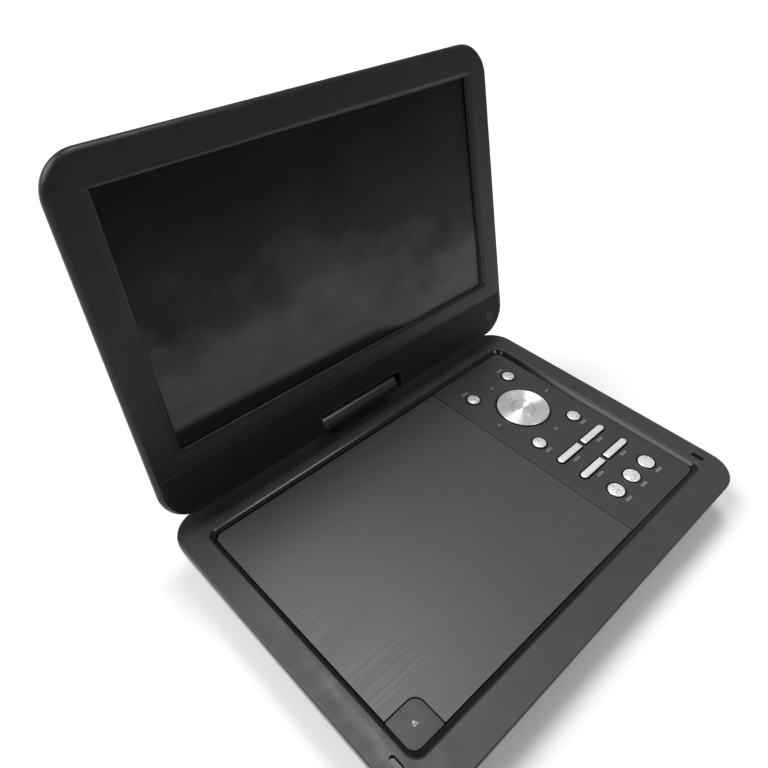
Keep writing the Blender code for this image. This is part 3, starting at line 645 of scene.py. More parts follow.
def underside():
    """Rubber feet, each a rounded disc with a dished face, and cross-head screws."""
    arm, half, edge = 1.5, 0.28, 0.7
    for i in range(1, 5):
        foot, low, high = placed(f"rubber_foot_{i}")
        r = (high.x - low.x) / 2
        profile = [(r, high.z), *quarter((r, edge), (r - edge, 0)), (r - 1.6, 0), (r - 1.9, 0.25), (1, 0.3)]
        made = solid(f"foot_{i}", [turned(foot.x, foot.y, profile)])
        dress(made, "rubber", "foot_rubber", "base", f"rubber_foot_{i}", edge=0)
        screw, low, high = placed(f"case_screw_{i}")
        head, step = low.z, low.z + 1.6
        profile = [(2.1, head), (2.5, head + 0.3), (2.6, head + 0.7), (2.6, step), (1.5, step), (1.5, high.z)]
        made = solid(f"screw_{i}", [turned(screw.x, screw.y, profile, 32)])
        for x, y in ((arm, half), (half, arm)):
            cut(made, block(screw.x - x, screw.x + x, screw.y - y, screw.y + y, head - 1, head + 0.9))
        dress(made, "steel", "steel", "base", f"case_screw_{i}", edge=0.05)


# The lid, its button and the disc bay


LID_LOW, LID_HIGH = base_range("disc_lid")
BUTTON_LOW, BUTTON_HIGH = base_range("open_button")
LID_R = 1.6
LID_AXIS_Y, LID_AXIS_Z = LID_HIGH.y - LID_R, FACE_Z - LID_R
LID_BARREL = (-108, 43)
LID_SKIN = 1.8
DISC_X, DISC_Y = middle("spindle_hub").x, middle("spindle_hub").y
DISC_WELL_R, WELL_Z, DECK_Z = 62.3, 17.4, 21.6
BUTTON_SLOT = 0.45
SEAM_ROOM = 0.3  # extra room between the lid and the recess, left and front
LUG_R = 1.1  # the deck's lugs round the lid's pins, under the lid's skin
LATCH_TAB, LATCH_HOLE = (-91, -88, -62, -58), (-92, -87, -63, -57)


def disc_lid():
    """A brushed plate with a hinge barrel along its back, ribs beneath and a notch for the button."""
    back, rear, under = LID_AXIS_Y, LID_AXIS_Y + LID_R, FACE_Z - LID_SKIN
    left, front, edge = LID_LOW.x + SEAM_ROOM, LID_LOW.y + SEAM_ROOM, 0.3
    profile = [(front, under), (back - 2, under)]
    for k in range(13):
        angle = math.radians(-120 + 10 * k)
        profile.append((back + LID_R * math.cos(angle), LID_AXIS_Z + LID_R * math.sin(angle)))
    profile += [(rear, FACE_Z - edge), (rear - edge, FACE_Z), (front, FACE_Z)]
    lid = solid("lid", [along_x(prism(profile, left, LID_HIGH.x))])
    rib_top = FACE_Z - 1
    join(lid, block(*LATCH_TAB, LID_LOW.z, rib_top))
    join(lid, tube(DISC_X, DISC_Y, 55, 56, 21, rib_top, 96), tube(DISC_X, DISC_Y, 10, 11, 21.9, rib_top))
    low, high = LID_AXIS_Z - 4, FACE_Z + 1
    button_sides = (LID_LOW.x - 5, BUTTON_HIGH.x + BUTTON_SLOT, LID_LOW.y - 5, BUTTON_HIGH.y + BUTTON_SLOT)
    notch = rounded_rect(*button_sides, (0.5, 5.5, 0.5, 0.5))
    cut(lid, prism(notch, low, high), rear_left_corner(left, rear, low, high))
    roof, lug_room, pin_r, pin_depth = LID_AXIS_Z + 0.9, LUG_R + 0.15, 0.95, 4
    sides = [(LID_LOW.x - 1, LID_BARREL[0]), (LID_BARREL[1], LID_HIGH.x + 1)]
    cut(lid, *(block(*x, back - 2.6, back + 3, low, roof) for x in sides))
    cut(lid, *(rod(back, LID_AXIS_Z, lug_room, *x) for x in sides))
    for end, inward in zip(LID_BARREL, (1, -1)):
        cut(lid, rod(back, LID_AXIS_Z, pin_r, *sorted((end - inward, end + inward * pin_depth)), 24))
    dress(lid, "lid", "lid_plastic", "lid", "disc_lid")


def rear_left_corner(x, y, low, high):
    """A cutter that rounds the rear left corner, at x and y, of a plate."""
    r, steps = 5, 12
    angles = [math.pi / 2 * k / steps for k in range(steps + 1)]
    arc = [(x + r - r * math.cos(t), y - r + r * math.sin(t)) for t in angles]
    return prism([(x + r, y + 1), (x - 1, y + 1), (x - 1, y - r), *arc], low, high)


def open_button():
    """A square button with soft corners, a slightly crowned top and a small eject mark."""
    sizes = (BUTTON_LOW.x, BUTTON_HIGH.x, BUTTON_LOW.y, BUTTON_HIGH.y, (1, 5, 1, 4.5))
    rim, edge, x, y, stem_r = FACE_Z - 0.12, 0.4, -104.5, -63, 2.5
    crown = (rounded_rect(*grown(sizes, -4)), FACE_Z - 0.03)
    cap = stack((rounded_rect(*sizes), FACE_Z - 3), *soft_top(sizes, rim - edge, rim, edge), crown)
    button = solid("release_button", [cap])
    join(button, turned(x, y, [(stem_r, BUTTON_LOW.z), (stem_r, FACE_Z - 2)]))
    dress(button, "panel", "lid_plastic", "open_button", "open_button", edge=0)
    low, high, half = FACE_Z - 0.1, FACE_Z, 1.3
    triangle = [(x - half, y), (x + half, y), (x, y + 1.6)]
    bar = rounded_rect(x - half, x + half, y - 0.9, y - 0.4, 0.1, 3)
    mark = solid("release_mark", [prism(triangle, low, high), prism(bar, low, high)])
    dress(mark, "print", "lid_plastic", "open_button", edge=0)


def disc_deck():
    """The tray under the lid: a dished well with a window for the pickup, and lugs for the lid's pins."""
    low, skin, high, pin_r, pin_depth = 15.8, 1.6, DECK_Z + 1, 0.85, 4.9
    deck_low, deck_high = base_range("disc_deck")
    plate = rounded_rect(deck_low.x, deck_high.x, deck_low.y, 67, 3)
    deck = solid("disc_tray", [prism(plate, DECK_Z - LID_SKIN, DECK_Z)])
    join(deck, prism(circle(DISC_X, DISC_Y, DISC_WELL_R + skin, 96), low, DECK_Z - 0.2))
    sides = [(deck_low.x + 0.7, LID_BARREL[0] - GAP), (LID_BARREL[1] + GAP, deck_high.x)]
    lug = [(LID_AXIS_Y + LUG_R * math.cos(t / 10), LID_AXIS_Z + LUG_R * math.sin(t / 10)) for t in range(32)]
    lug += [(LID_AXIS_Y - LUG_R, 17), (LID_AXIS_Y + LUG_R, 17)]
    join(deck, *(along_x(prism(lug, *x)) for x in sides))
    join(deck, *(block(x[0] + 1, x[1] - 1, 62, 69, 18, DECK_Z - 0.8) for x in sides))
    lip = quarter((DISC_WELL_R, DECK_Z - 1), (DISC_WELL_R + 1, DECK_Z))
    well = turned(DISC_X, DISC_Y, [(DISC_WELL_R - 0.8, WELL_Z), *lip, (DISC_WELL_R + 1, high)], 96)
    corner = block(deck_low.x - 1, BUTTON_HIGH.x + 1, deck_low.y - 1, BUTTON_HIGH.y + 1, low - 1, high)
    cut(deck, well, corner, block(*LATCH_HOLE, low, high))
    lens = middle("pickup_lens")
    window = rounded_rect(DISC_X - 10, DISC_X + 10, lens.y - 37.6, lens.y + 5.6, 2)
    cut(deck, *(prism(hole, low - 1, WELL_Z + 1) for hole in (window, circle(DISC_X, DISC_Y, 9))))
    cut(deck, tube(DISC_X, DISC_Y, 60, 61, WELL_Z - 0.4, WELL_Z + 1, 96))
    for end, outward in zip(LID_BARREL, (-1, 1)):
        cut(deck, rod(LID_AXIS_Y, LID_AXIS_Z, pin_r, *sorted((end, end + outward * pin_depth)), 24))
    dress(deck, "black", "black_plastic", "base", "disc_deck")


def spindle_hub():
    """The clamping hub: a flange with a soft pad, a nose and three sprung catches."""
    low, high = base_range("spindle_hub")
    z, top, nose_r, reach, ball_r = low.z, high.z - GAP, 7.4, 6.6, 1.1
    profile = [(8, z), (8, z + 2.1), (11.3, z + 2.1), (11.5, z + 2.3), (11.5, z + 3.1), (11.3, z + 3.3),
               (nose_r, z + 3.3), *quarter((nose_r, z + 3.6), (nose_r - 1.8, top)),
               (2, top), (1.6, high.z - 1.2)]
    hub = solid("hub", [turned(DISC_X, DISC_Y, profile, 72)])
    dress(hub, "black", "black_plastic", "spindle", "spindle_hub", edge=0)
    slices = [math.pi * s / 10 for s in range(1, 10)]
    ball = [(ball_r * math.sin(t), z + 4.4 - ball_r * math.cos(t)) for t in slices]
    turns = [2 * math.pi * k / 3 for k in range(3)]
    catches = [turned(DISC_X + reach * math.cos(t), DISC_Y + reach * math.sin(t), ball, 24) for t in turns]
    dress(solid("hub_catches", catches), "steel", "black_plastic", "spindle", edge=0)


def pickup():
    """The sled with its lens carrier, and the lens as a small dome in a ring."""
    low, high = base_range("pickup_sled")
    lens, lens_low, lens_high = placed("pickup_lens")
    sled_top, room, rise = 14, 0.25, 0.55
    body = rounded_rect(low.x, high.x, low.y, high.y, 2, 6)
    sled = solid("pickup_carriage", [prism(body, low.z, sled_top)])
    join(sled, prism(centred(lens.x, lens.y, 9, 5, 1.5, 6), sled_top - 1, high.z))
    cut(sled, prism(circle(lens.x, lens.y, 3), high.z - 0.5, high.z + 1))
    for name in ("guide_rod_left", "guide_rod_right", "lead_screw"):
        bar, bar_low, bar_high = placed(name)
        r = (bar_high.x - bar_low.x) / 2 + room
        cut(sled, block(bar.x - r, bar.x + r, low.y - 1, high.y + 1, bar.z - r, bar.z + r))
    dress(sled, "black", "black_plastic", "pickup", "pickup_sled", edge=0.2)
    r, foot = (lens_high.x - lens_low.x) / 2, lens_low.z + 0.2
    dome = [(r * math.cos(t), foot + rise * math.sin(t)) for t in (0, 0.3, 0.6, 0.9, 1.2, 1.45)]
    made = solid("laser_lens", [turned(lens.x, lens.y, [(r, lens_low.z), *dome])])
    dress(made, "lens", "lens", "pickup", "pickup_lens", edge=0)


# The key panel and its keys


ROUND_KEYS = [f"round_key_{a}_{b}" for a in ("back", "front") for b in ("left", "right")]
BAR_KEYS = [f"bar_key_{a}_{b}" for a in ("back", "front") for b in ("left", "right")]
RING_KEYS = [f"ring_key_{side}" for side in ("left", "middle", "right")]
KEYS = ROUND_KEYS + BAR_KEYS + RING_KEYS
FLANGE, FLANGE_THICK, KEY_SLOT, RING_KEY_R = 1, 0.8, 0.95, 4.75
DIAL = middle("nav_ring")
DIAL_R = (base_range("nav_ring")[1].x - DIAL.x) - FLANGE
OK_R = base_range("ok_button")[1].x - DIAL.x


def key_sizes(name):
    """A key's outline above the panel, as a rounded rectangle's sizes."""
    low, high = base_range(name)
    end, flat = (high.y - low.y) / 2 - FLANGE, 0.5
    radii = end
    if name in BAR_KEYS:
        radii = (flat, flat, end, end) if name.endswith("left") else (end, end, flat, flat)
    return low.x + FLANGE, high.x - FLANGE, low.y + FLANGE, high.y - FLANGE, radii


def control_panel():
    """The key plate, with a raised collar round the dial and each of the three front keys."""
    low, high = base_range("control_panel")
    corner, flat, crest_z = 4.2, 0.6, FACE_Z + 0.25
    plate = rounded_rect(low.x, high.x, low.y, high.y, (corner, corner, flat, flat))
    panel = solid("key_plate", [prism(plate, low.z, FACE_Z)])
    collars = []
    for centre, r in [(middle(name), RING_KEY_R) for name in RING_KEYS] + [(DIAL, DIAL_R)]:
        inner, crest, foot = r + 0.3, r + 1.4, r + 1.7
        profile = [(inner, FACE_Z - 1), (inner, crest_z), (crest, crest_z), (foot, FACE_Z - 0.1),
                   (foot, FACE_Z - 1)]
        collars.append(turned_ring(centre.x, centre.y, profile, 96))
    join(panel, *collars)
    holes = [rounded_rect(*grown(key_sizes(name), KEY_SLOT)) for name in KEYS]
    holes.append(circle(DIAL.x, DIAL.y, DIAL_R + KEY_SLOT, 96))
    cut(panel, *(prism(hole, low.z - 1, FACE_Z + 1) for hole in holes))
    dress(panel, "panel", "panel_plastic", "base", "control_panel", edge=0.14)


def key_cap(name, finish, crown):
    """A key with a rounded edge and a crowned top, on a black stem with a flange below the panel."""
    low, high = base_range(name)
    sizes = key_sizes(name)
    flange_top, shoulder, edge = low.z + FLANGE_THICK, high.z - crown, 0.3
    foot, half = shoulder - 0.4, (sizes[3] - sizes[2]) / 2
    rise = [(edge + (half - 0.4) * t, shoulder + crown * (1 - (1 - t) ** 2))
            for t in (0.15, 0.3, 0.5, 0.7, 0.85, 0.97)]
    top = [(rounded_rect(*grown(sizes, -o)), z) for o, z in rise]
    cap = stack((rounded_rect(*sizes), foot), *soft_top(sizes, shoulder - 0.35, shoulder, edge), *top)
    dress(solid(name + "_cap", [cap]), finish, "key_silver", name, name, edge=0)
    wide, thin = rounded_rect(*grown(sizes, FLANGE)), rounded_rect(*grown(sizes, -0.15))
    stem = stack((wide, low.z), (wide, flange_top), (thin, flange_top), (thin, foot))
    dress(solid(name + "_stem", [stem]), "black", "key_silver", name, edge=0)


def keys():
    groups = ((ROUND_KEYS, "silver", 0.35), (RING_KEYS, "silver", 0.4), (BAR_KEYS, "satin", 0.15))
    for names, finish, crown in groups:
        for name in names:
            key_cap(name, finish, crown)


def dial():
    """The spun ring, dished towards its centre, with the OK button flush in it."""
    low, high = base_range("nav_ring")
    flange_top, foot, edge, dip = low.z + FLANGE_THICK, high.z - 0.65, 0.4, 0.5
    inner, crest, wide = OK_R + 0.2, DIAL_R - edge, DIAL_R + FLANGE
    dish = [(crest - (crest - inner) * t, high.z - dip * (1 - (1 - t) ** 2))
            for t in (0.05, 0.1, 0.2, 0.35, 0.5, 0.65, 0.8, 0.95, 1.0)]
    profile = [(DIAL_R, foot), *quarter((DIAL_R, high.z - edge), (crest, high.z)), *dish, (inner, foot)]
    ring = solid("dial_ring", [turned_ring(DIAL.x, DIAL.y, profile, 128)])
    dress(ring, "dial", "dial_metal", "nav_ring", "nav_ring", edge=0)
    profile = [(wide, low.z), (wide, flange_top), (DIAL_R, flange_top), (DIAL_R, foot), (inner, foot),
               (inner, low.z)]
    skirt = solid("dial_skirt", [turned_ring(DIAL.x, DIAL.y, profile, 128)])
    dress(skirt, "black", "dial_metal", "nav_ring", edge=0)
    top, edge = high.z - dip, 0.2
    rim = quarter((OK_R, top - edge), (OK_R - edge, top), 4)
    profile = [(OK_R, low.z), *rim, (4, top - 0.1), (0.1, top - 0.15)]
    made = solid("dial_button", [turned(DIAL.x, DIAL.y, profile, 96)])
    dress(made, "dial", "dial_metal", "ok_button", "ok_button", edge=0)


def panel_marks():
    """Small generic printed marks: a pair of arrowheads on each side of the dial, and dashes by the keys."""
    low, high, beside = FACE_Z - 0.05, FACE_Z + 0.02, 2.2
    half_arrow, dash_pitch, dash, half_dash = 0.75, 1.05, 0.75, 0.3
    shapes = []
    for dx, dy in ((24.6, 0), (-23, 0), (0, 24.8), (0, -24.8)):
        for shift in (-0.9, 0.5):
            x, y = DIAL.x + dx + shift, DIAL.y + dy
            arrow = [(x - 0.3, y - half_arrow), (x + 0.9, y), (x - 0.3, y + half_arrow)]
            shapes.append(prism(arrow, low, high))
    for name in KEYS:
        centre, key_low, key_high = placed(name)
        y = key_high.y + beside if name.startswith("round_key_back") else key_low.y - beside
        for row in (y - 0.45, y + 0.45):
            for k in range(5):
                x = centre.x + (k - 2.5) * dash_pitch
                outline = rounded_rect(x, x + dash, row - half_dash, row + half_dash, 0.1, 2)
                shapes.append(prism(outline, low, high))
    dress(solid("panel_marks", shapes), "print", "panel_plastic", "base", edge=0)


# The right side's sockets and controls


def socket(name, body_r, nose_r, bore_r, pin_r):
    """A round socket with a bevelled mouth, and a centre pin where pin_r is given."""
    centre, low, high = placed(name)
    step, deep, mouth = high.x - 2.2, low.x + 2, high.x
    profile = [(body_r, low.x), (body_r, step), (nose_r, step), (nose_r, mouth - 0.2), (nose_r - 0.2, mouth),
               (bore_r + 0.4, mouth), (bore_r, mouth - 0.5), (bore_r, deep)]
    if pin_r:
        profile += [(pin_r, deep), (pin_r, mouth - 2.4), (pin_r * 0.5, mouth - 2)]
    made = solid(name + "_shell", [along_x(turned(centre.y, centre.z, profile))])
    dress(made, "black", "black_plastic", "base", name, edge=0)
    outer, inner = bore_r - 0.02, bore_r - 0.3
    ring = [(outer, deep + 1), (outer, mouth - 0.8), (inner, mouth - 1), (inner, deep + 1)]
    liner = solid(name + "_contact", [along_x(turned_ring(centre.y, centre.z, ring))])
    dress(liner, "steel", "black_plastic", "base", edge=0)


def flat_socket(name, tongue_height, contacts):
    """A pressed steel sleeve with a plastic tongue and a row of contacts inside."""
    centre, low, high = placed(name)
    skin, floor, outer = 0.4, low.x + 1.4, (low.y, high.y, low.z, high.z, 0.7)
    outline, hollow = rounded_rect(*outer, steps=6), rounded_rect(*grown(outer, -skin), steps=6)
    sleeve = stack((outline, low.x), (outline, high.x), (hollow, high.x), (hollow, floor))
    dress(solid(name + "_sleeve", [along_x(sleeve)]), "steel", "steel", "base", name, edge=0.06)
    half, top = (high.y - low.y) / 2 - 1.2, centre.z + tongue_height
    tongue = block(floor - 0.2, high.x - 1.2, centre.y - half, centre.y + half, top - 0.9, top)
    dress(solid(name + "_tongue", [tongue]), "black", "black_plastic", "base", edge=0.15)
    pitch = 2 * half / (contacts + 1)
    half_strip, strips = pitch * 0.22, []
    for k in range(contacts):
        y = centre.y - half + (k + 1) * pitch
        strips.append(block(floor, high.x - 1.6, y - half_strip, y + half_strip, top - 1, top - 0.8))
    dress(solid(name + "_contacts", strips), "steel", "steel", "base", edge=0)


def side_controls():
    jack = {"body_r": 3.6, "nose_r": 3.4, "bore_r": 1.8, "pin_r": 0}
    socket("headphone_jack", **jack)
    socket("av_jack", **jack)
    socket("dc_jack", body_r=3.6, nose_r=4.3, bore_r=2.8, pin_r=0.9)
    flat_socket("usb_socket", tongue_height=1.6, contacts=4)
    flat_socket("card_socket", tongue_height=0.9, contacts=9)
    volume_wheel()
    power_switch()


def volume_wheel():
    """A thumb wheel with a knurled rim."""
    centre, low, high = placed("volume_wheel")
    r, teeth, tooth, edge = (high.x - low.x) / 2, 48, 0.3, 0.3

    def rim(shrink):
        points = []
        for k in range(teeth * 4):
            angle = 2 * math.pi * k / (teeth * 4)
            reach = r - shrink - (tooth if k % 4 in (2, 3) else 0)
            points.append((centre.x + reach * math.cos(angle), centre.y + reach * math.sin(angle)))
        return points

    sections = [(rim(edge), low.z), (rim(0), low.z + edge), (rim(0), high.z - edge), (rim(edge), high.z)]
    wheel = solid("volume_thumbwheel", [stack(*sections)])
    dress(wheel, "black", "black_plastic", "volume_wheel", "volume_wheel", edge=0)


def power_switch():
    """A sliding knob with grip ribs."""
    low, high = base_range("power_switch")
    ridges, depth, half_w = 5, 0.5, 0.6
    pitch = (high.y - low.y) / ridges
    outline = rounded_rect(low.y, high.y, low.z, high.z, 0.4, 4)
    knob = solid("power_knob", [along_x(prism(outline, low.x, high.x))])
    valleys = []
    for k in range(1, ridges):
        y = low.y + k * pitch
        valley = [(high.x - depth, y), (high.x + 1, y - half_w), (high.x + 1, y + half_w)]
        valleys.append(prism(valley, low.z - 1, high.z + 1))
    cut(knob, *valleys)
    dress(knob, "black", "black_plastic", "power_switch", "power_switch", edge=0.1)


# The hinge and the screen


def hinge_barrel():
    """The barrel that the screen tilts on, and its neck and foot on the shaft that swivels in the base."""
    shaft_r, shaft_low, foot_r, foot_low = 6, 12, 8.6, RIM_Z + GAP
    foot = [(foot_r, foot_low), *quarter((foot_r, foot_low + 0.4), (foot_r - 0.7, foot_low + 1.1))]
    stand = solid("hinge_stand", [turned(0, HINGE_Y, [(shaft_r, shaft_low), (shaft_r, foot_low), *foot])])
    join(stand, prism(centred(0, HINGE_Y, 22, 5, 3), foot_low + 0.2, HINGE_Z - 3))
    # Painted shade: the neck and foot are in near-black plastic, darker than the barrel, to stand for the
    # shadow under the barrel.
    dress(stand, "black", "bezel_plastic", "swivel", "hinge_barrel", edge=0.2)
    edge, bore_depth = 0.8, 13.7
    end = quarter((BARREL_R, BARREL_X - edge), (BARREL_R - edge, BARREL_X))
    profile = [(r, -x) for r, x in reversed(end)] + end
    barrel = solid("hinge", [along_x(turned(HINGE_Y, HINGE_Z, profile, 72))])
    for sign in (-1, 1):
        ends = sorted((sign * bore_depth, sign * (BARREL_X + 1)))
        cut(barrel, rod(HINGE_Y, HINGE_Z, SHAFT_R + 0.25, *ends))
    dress(barrel, "barrel", "bezel_plastic", "swivel", edge=0.2)


def screen_outline(inset):
    sizes = (-CASE_X + inset, CASE_X - inset, SCREEN_LOW + inset, SCREEN_TOP - inset)
    return rounded_rect(*sizes, SCREEN_CORNER - inset)


def notch_cutters():
    """The notch that clears the hinge barrel, and the holes for the tilt shafts beside it."""
    outline = rounded_rect(-NOTCH_X, NOTCH_X, SCREEN_LOW - 5, NOTCH_Y, (0.1, 1.2, 1.2, 0.1))
    side = SHAFT_OUTER + 1
    return prism(outline, SCREEN_BACK - 1, SCREEN_FRONT + 1), rod(0, 0, SHAFT_R + GAP, -side, side)


def notch_wall(low, high):
    return block(-NOTCH_X - WALL, NOTCH_X + WALL, SCREEN_LOW + 1.5, NOTCH_Y + WALL, low, high)


def grille_outline(shrink):
    """The perforated band: the foot of the screen's face, less the hinge notch."""
    margin, notch_margin = CREASE + 0.25 + shrink, 0.45 + shrink
    side, low, top = CASE_X - margin, SCREEN_LOW + margin, GRILLE_TOP - shrink
    corner, flat = SCREEN_CORNER - margin, 0.5
    half, head = NOTCH_X + notch_margin, NOTCH_Y + notch_margin
    points = rounded_rect(-side, side, low, top, (corner, flat, flat, corner))
    return points + [(-half, low), (-half, head), (half, head), (half, low)]


def screen_bezel():
    """The front shell: a frame with a stepped opening, and a pocket for the perforated band."""
    under, roof, pocket = SCREEN_FRONT - FRAME_DEPTH - 0.6, SCREEN_FRONT - 1.9, 0.9
    shoulder = [(screen_outline(inset), SCREEN_FRONT - drop) for inset, drop in
                ((0, 4), (0, 3), (0.06, 2.4), (0.3, 1.8), (0.75, 1.1), (1.3, 0.5), (CREASE, 0))]
    frame_outer, frame_inner = rounded_rect(*FRAME_OUTER), rounded_rect(*FRAME_INNER)
    steps = [(0, 0), (0.2, 0.39), (0.75, 0.65), (0.78, 1.1), (0.98, 1.5), (1, FRAME_DEPTH)]
    shell = hoop(
        (screen_outline(SEAM_INSET), SCREEN_SEAM),
        *shoulder,
        *((blended(frame_outer, frame_inner, share), SCREEN_FRONT - drop) for share, drop in steps),
        (frame_inner, under),
        (rounded_rect(*grown(FRAME_OUTER, 2)), under),
        (rounded_rect(*grown(FRAME_OUTER, 2.4)), roof),
        (screen_outline(WALL), roof),
        (screen_outline(SEAM_INSET + WALL), SCREEN_SEAM),
    )
    bezel = solid("screen_frame", [shell], SCREEN)
    join(bezel, notch_wall(SCREEN_SEAM, roof + 1), place=SCREEN)
    notch, shaft = notch_cutters()
    cut(bezel, notch, prism(circle(IR_X, IR_Y, IR_R + GAP), 4, 10), place=SCREEN)
    cut(bezel, shaft, place=SCREEN)
    cut(bezel, prism(grille_outline(0), SCREEN_FRONT - pocket, SCREEN_FRONT + 1), place=SCREEN)
    dress(bezel, "bezel", "bezel_plastic", "screen", "screen_bezel")


def inside(outline, x, y):
    """Whether a point lies inside an outline."""
    odd = False
    for (x0, y0), (x1, y1) in zip(outline, outline[1:] + outline[:1]):
        if (y0 > y) != (y1 > y) and x < x0 + (y - y0) / (y1 - y0) * (x1 - x0):
            odd = not odd
    return odd


def perforate(bm, fits, top, depth, reach):
    """Fills the part of the plane where fits(x, y) with slanted square cells, each with a round pit."""
    corners, usable = {}, {}
    half = GRILLE_PITCH / 2

    def corner(i, j):
        if (i, j) not in corners:
            corners[i, j] = vertex(bm, i * half, j * half, top)
        return corners[i, j]

    def good(i, j):
        if (i, j) not in usable:
            usable[i, j] = fits(i * half, j * half)
        return usable[i, j]

    count = int(reach / half) + 1
    for i in range(-count, count):
        for j in range(-6, int(GRILLE_TOP / half) + 2):
            places = [(i + 1, j), (i, j + 1), (i - 1, j), (i, j - 1)]
            if (i + j) % 2 or not all(good(*place) for place in places):
                continue
            square = [corner(*place) for place in places]
            rim, pit = [], []
            for k in range(8):
                x, y = math.cos(math.pi * k / 4), math.sin(math.pi * k / 4)
                for ring, r, z in ((rim, GRILLE_HOLE, top), (pit, GRILLE_HOLE * 0.8, top - depth)):
                    ring.append(vertex(bm, i * half + r * x, j * half + r * y, z))
            for k in range(4):
                following = (k + 1) % 4
                a, b, c = rim[2 * k], rim[2 * k + 1], rim[(2 * k + 2) % 8]
                bm.faces.new((square[k], b, a))
                bm.faces.new((square[k], square[following], b))
                bm.faces.new((square[following], c, b))
            for k in range(8):
                bm.faces.new((rim[k], rim[(k + 1) % 8], pit[(k + 1) % 8], pit[k]))
            bm.faces.new(pit)


def speaker_grille():
    """The perforated band below the display, a thin plate with a field of small pits."""
    top, thick, depth = SCREEN_FRONT - 0.06, 0.7, 0.4
    field, border = grille_outline(0.35), grille_outline(0.12)

    def fits(x, y):
        return inside(field, x, y) and math.dist((x, y), (IR_X, IR_Y)) > IR_R + 0.5

    bm = bmesh.new()
    perforate(bm, fits, top, depth, CASE_X)
    edges = [e for e in bm.edges if len(e.link_faces) == 1]
    walls = []
    for outline in (border, circle(IR_X, IR_Y, IR_R + GAP)):
        upper = [vertex(bm, x, y, top) for x, y in outline]
        lower = [vertex(bm, x, y, top - thick) for x, y in outline]
        for k in range(len(outline)):
            following = (k + 1) % len(outline)
            edges.append(bm.edges.new((upper[k], upper[following])))
            walls.append(bm.edges.new((lower[k], lower[following])))
            bm.faces.new((upper[k], upper[following], lower[following], lower[k]))
    bmesh.ops.triangle_fill(bm, use_beauty=True, edges=edges)
    bmesh.ops.triangle_fill(bm, use_beauty=True, edges=walls)
    grille = from_bmesh("speaker_grille", bm, SCREEN)
    dress(grille, "grille", "bezel_plastic", "screen", edge=0)
    grille.data.shade_flat()


def screen_back():
    """The rear shell: a dish whose sides draw in and curl towards its back, with a groove inside its edge."""
    top, floor, steps = 1.1, SCREEN_BACK + WALL, 10
    outer = []
    for k in range(steps + 1):
        depth = k / steps
        outer.append((screen_outline(0.9 + 2.7 * depth + 4.4 * depth**4), top + (SCREEN_BACK - top) * depth))
    insets = ((8, floor), (4.2, -2.4), (SEAM_INSET + WALL, top))
    inner = [(screen_outline(inset), z) for inset, z in insets]
    back = solid("screen_rear", [stack(*inner, *outer)], SCREEN)
    join(back, notch_wall(floor - 1, 1), place=SCREEN)
    for cutter in notch_cutters():
        cut(back, cutter, place=SCREEN)
    inset, width, depth = 16, 0.9, 0.35
    sizes = (-CASE_X + inset, CASE_X - inset, SCREEN_LOW + 24, SCREEN_TOP - inset, 9)
    cut(back, rim_groove(sizes, width, SCREEN_BACK - 1, SCREEN_BACK + depth), place=SCREEN)
    dress(back, "shell", "case_plastic", "screen", "screen_back")


def display():
    """The display panel: a sheet of dark glass whose edge is rounded under the frame's lip."""
    sizes, thick, edge = grown(FRAME_INNER, 2.3), 3.4, 0.2
    top = SCREEN_FRONT - FRAME_DEPTH - 0.9
    sheet = stack((rounded_rect(*sizes), top - thick), *soft_top(sizes, top - edge, top, edge, 4))
    glass = solid("display_glass", [sheet], SCREEN)
    dress(glass, "display", "display", "screen", "lcd_panel", edge=0)


def receiver_window():
    """The small domed window of the remote control's receiver, in the perforated band."""
    dome = quarter((IR_R, SCREEN_FRONT - 0.6), (IR_R - 0.4, SCREEN_FRONT - 0.25))
    window = turned(IR_X, IR_Y, [(IR_R, 5.8), *dome])
    made = solid("receiver_window", [window], SCREEN)
    dress(made, "lens", "lens", "screen", "ir_window", edge=0)


# What keeps its CAD shape, and the scene


CARRIED = {
    "steel": ["hinge_bracket", "spindle_motor", "guide_rod_left", "guide_rod_right", "lead_screw",
              "sled_motor", "lid_hinge_pin_left", "lid_hinge_pin_right", "tilt_shaft_left",
              "tilt_shaft_right"],
    "board": ["key_board", "main_board", "driver_board"],
    "battery": ["battery_pack"],
    "black": ["lid_latch", "speaker_left", "speaker_right"],
}


def finish_carried():
    """Gives the nodes that keep their CAD shape a material."""
    for finish, names in CARRIED.items():
        for name in names:
            obj = frame["nodes"][name]
            obj.data.materials.clear()
            obj.data.materials.append(FINISHES[finish])


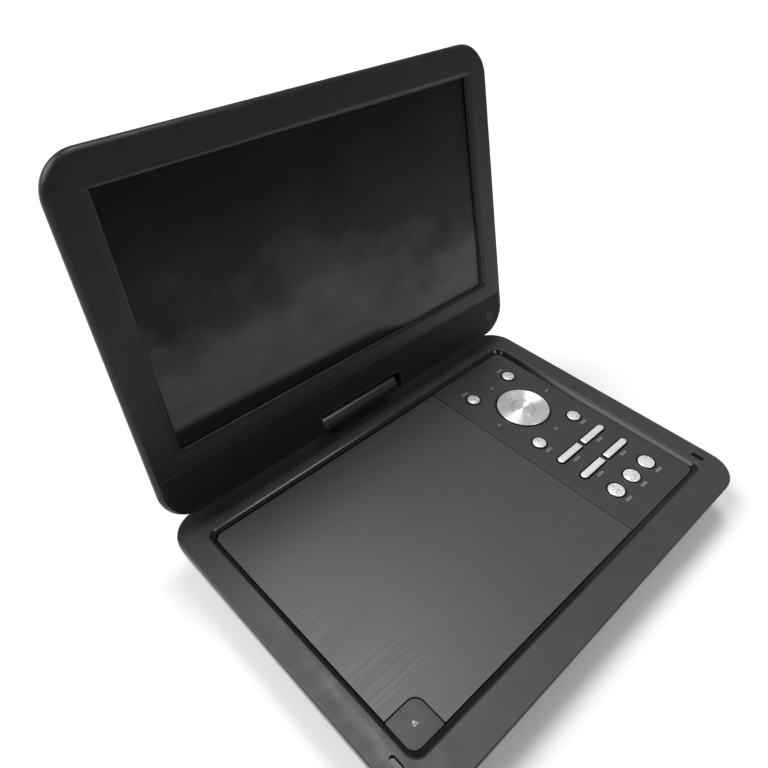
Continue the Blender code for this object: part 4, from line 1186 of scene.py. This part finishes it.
def floor():
    bm = bmesh.new()
    bmesh.ops.create_grid(bm, x_segments=1, y_segments=1, size=6)
    ground = from_bmesh("floor", bm, Matrix.Translation((0, 0, -0.2 * MM)))
    made, tree, shader = new_material("pale_floor")
    tone = spread(tree, noise(tree, 400), 0.985, 1.015)
    link_all(tree, shader, Base_Color=shade(tree, (0.95, 0.95, 0.95), tone))
    shader.inputs["Roughness"].default_value = 0.7
    ground.data.materials.append(made)


def area_light(name, place, target, size, power):
    light = bpy.data.lights.new(name, "AREA")
    light.shape = "RECTANGLE"
    light.size, light.size_y = size
    light.energy = power
    obj = linked(name, light)
    obj.location = place
    obj.rotation_euler = (Vector(target) - Vector(place)).to_track_quat("-Z", "Y").to_euler()


def sun(name, place, spread_deg, power):
    """A distant soft light that shines from a place towards the origin."""
    light = bpy.data.lights.new(name, "SUN")
    light.angle = math.radians(spread_deg)
    light.energy = power
    obj = linked(name, light)
    obj.rotation_euler = (-Vector(place)).to_track_quat("-Z", "Y").to_euler()


def lights():
    world = bpy.data.worlds.new("studio")
    world.use_nodes = True
    background = world.node_tree.nodes["Background"]
    background.inputs["Color"].default_value = (1, 1, 1, 1)
    background.inputs["Strength"].default_value = 0.28
    bpy.context.scene.world = world
    sun("key_light", (-0.7, 0.5, 0.8), 45, 2.9)
    sun("lid_light", (0.22, 0.3, 0.92), 18, 0.95)
    area_light("glint_light", (0.28, -0.45, 0.75), (-0.05, 0.05, 0.03), (0.3, 0.1), 1.6)


def camera():
    """A camera at the front left, looking down at the player by forty degrees."""
    lens = bpy.data.cameras.new("camera")
    lens.lens = 32.506
    lens.sensor_width = 36
    lens.shift_x, lens.shift_y = 0.00364, -0.00936
    lens.clip_start = 0.01
    obj = linked("camera", lens)
    right = Vector((0.726644, -0.686757, 0.018777))
    up = Vector((0.430387, 0.476348, 0.766718))
    back = -Vector((0.535494, 0.549050, -0.641708))
    turn = Matrix((right, up, back)).transposed().to_4x4()
    obj.matrix_world = Matrix.Translation((-0.20550, -0.16471, 0.31497)) @ turn
    bpy.context.scene.camera = obj


def build():
    for make in (base_top_case, base_bottom_case, underside, disc_lid, open_button, disc_deck, spindle_hub,
                 pickup, control_panel, keys, dial, panel_marks, side_controls, hinge_barrel, screen_bezel,
                 speaker_grille, screen_back, display, receiver_window, finish_carried, floor, lights,
                 camera):
        make()
    bpy.context.scene.view_settings.view_transform = "Standard"


build()
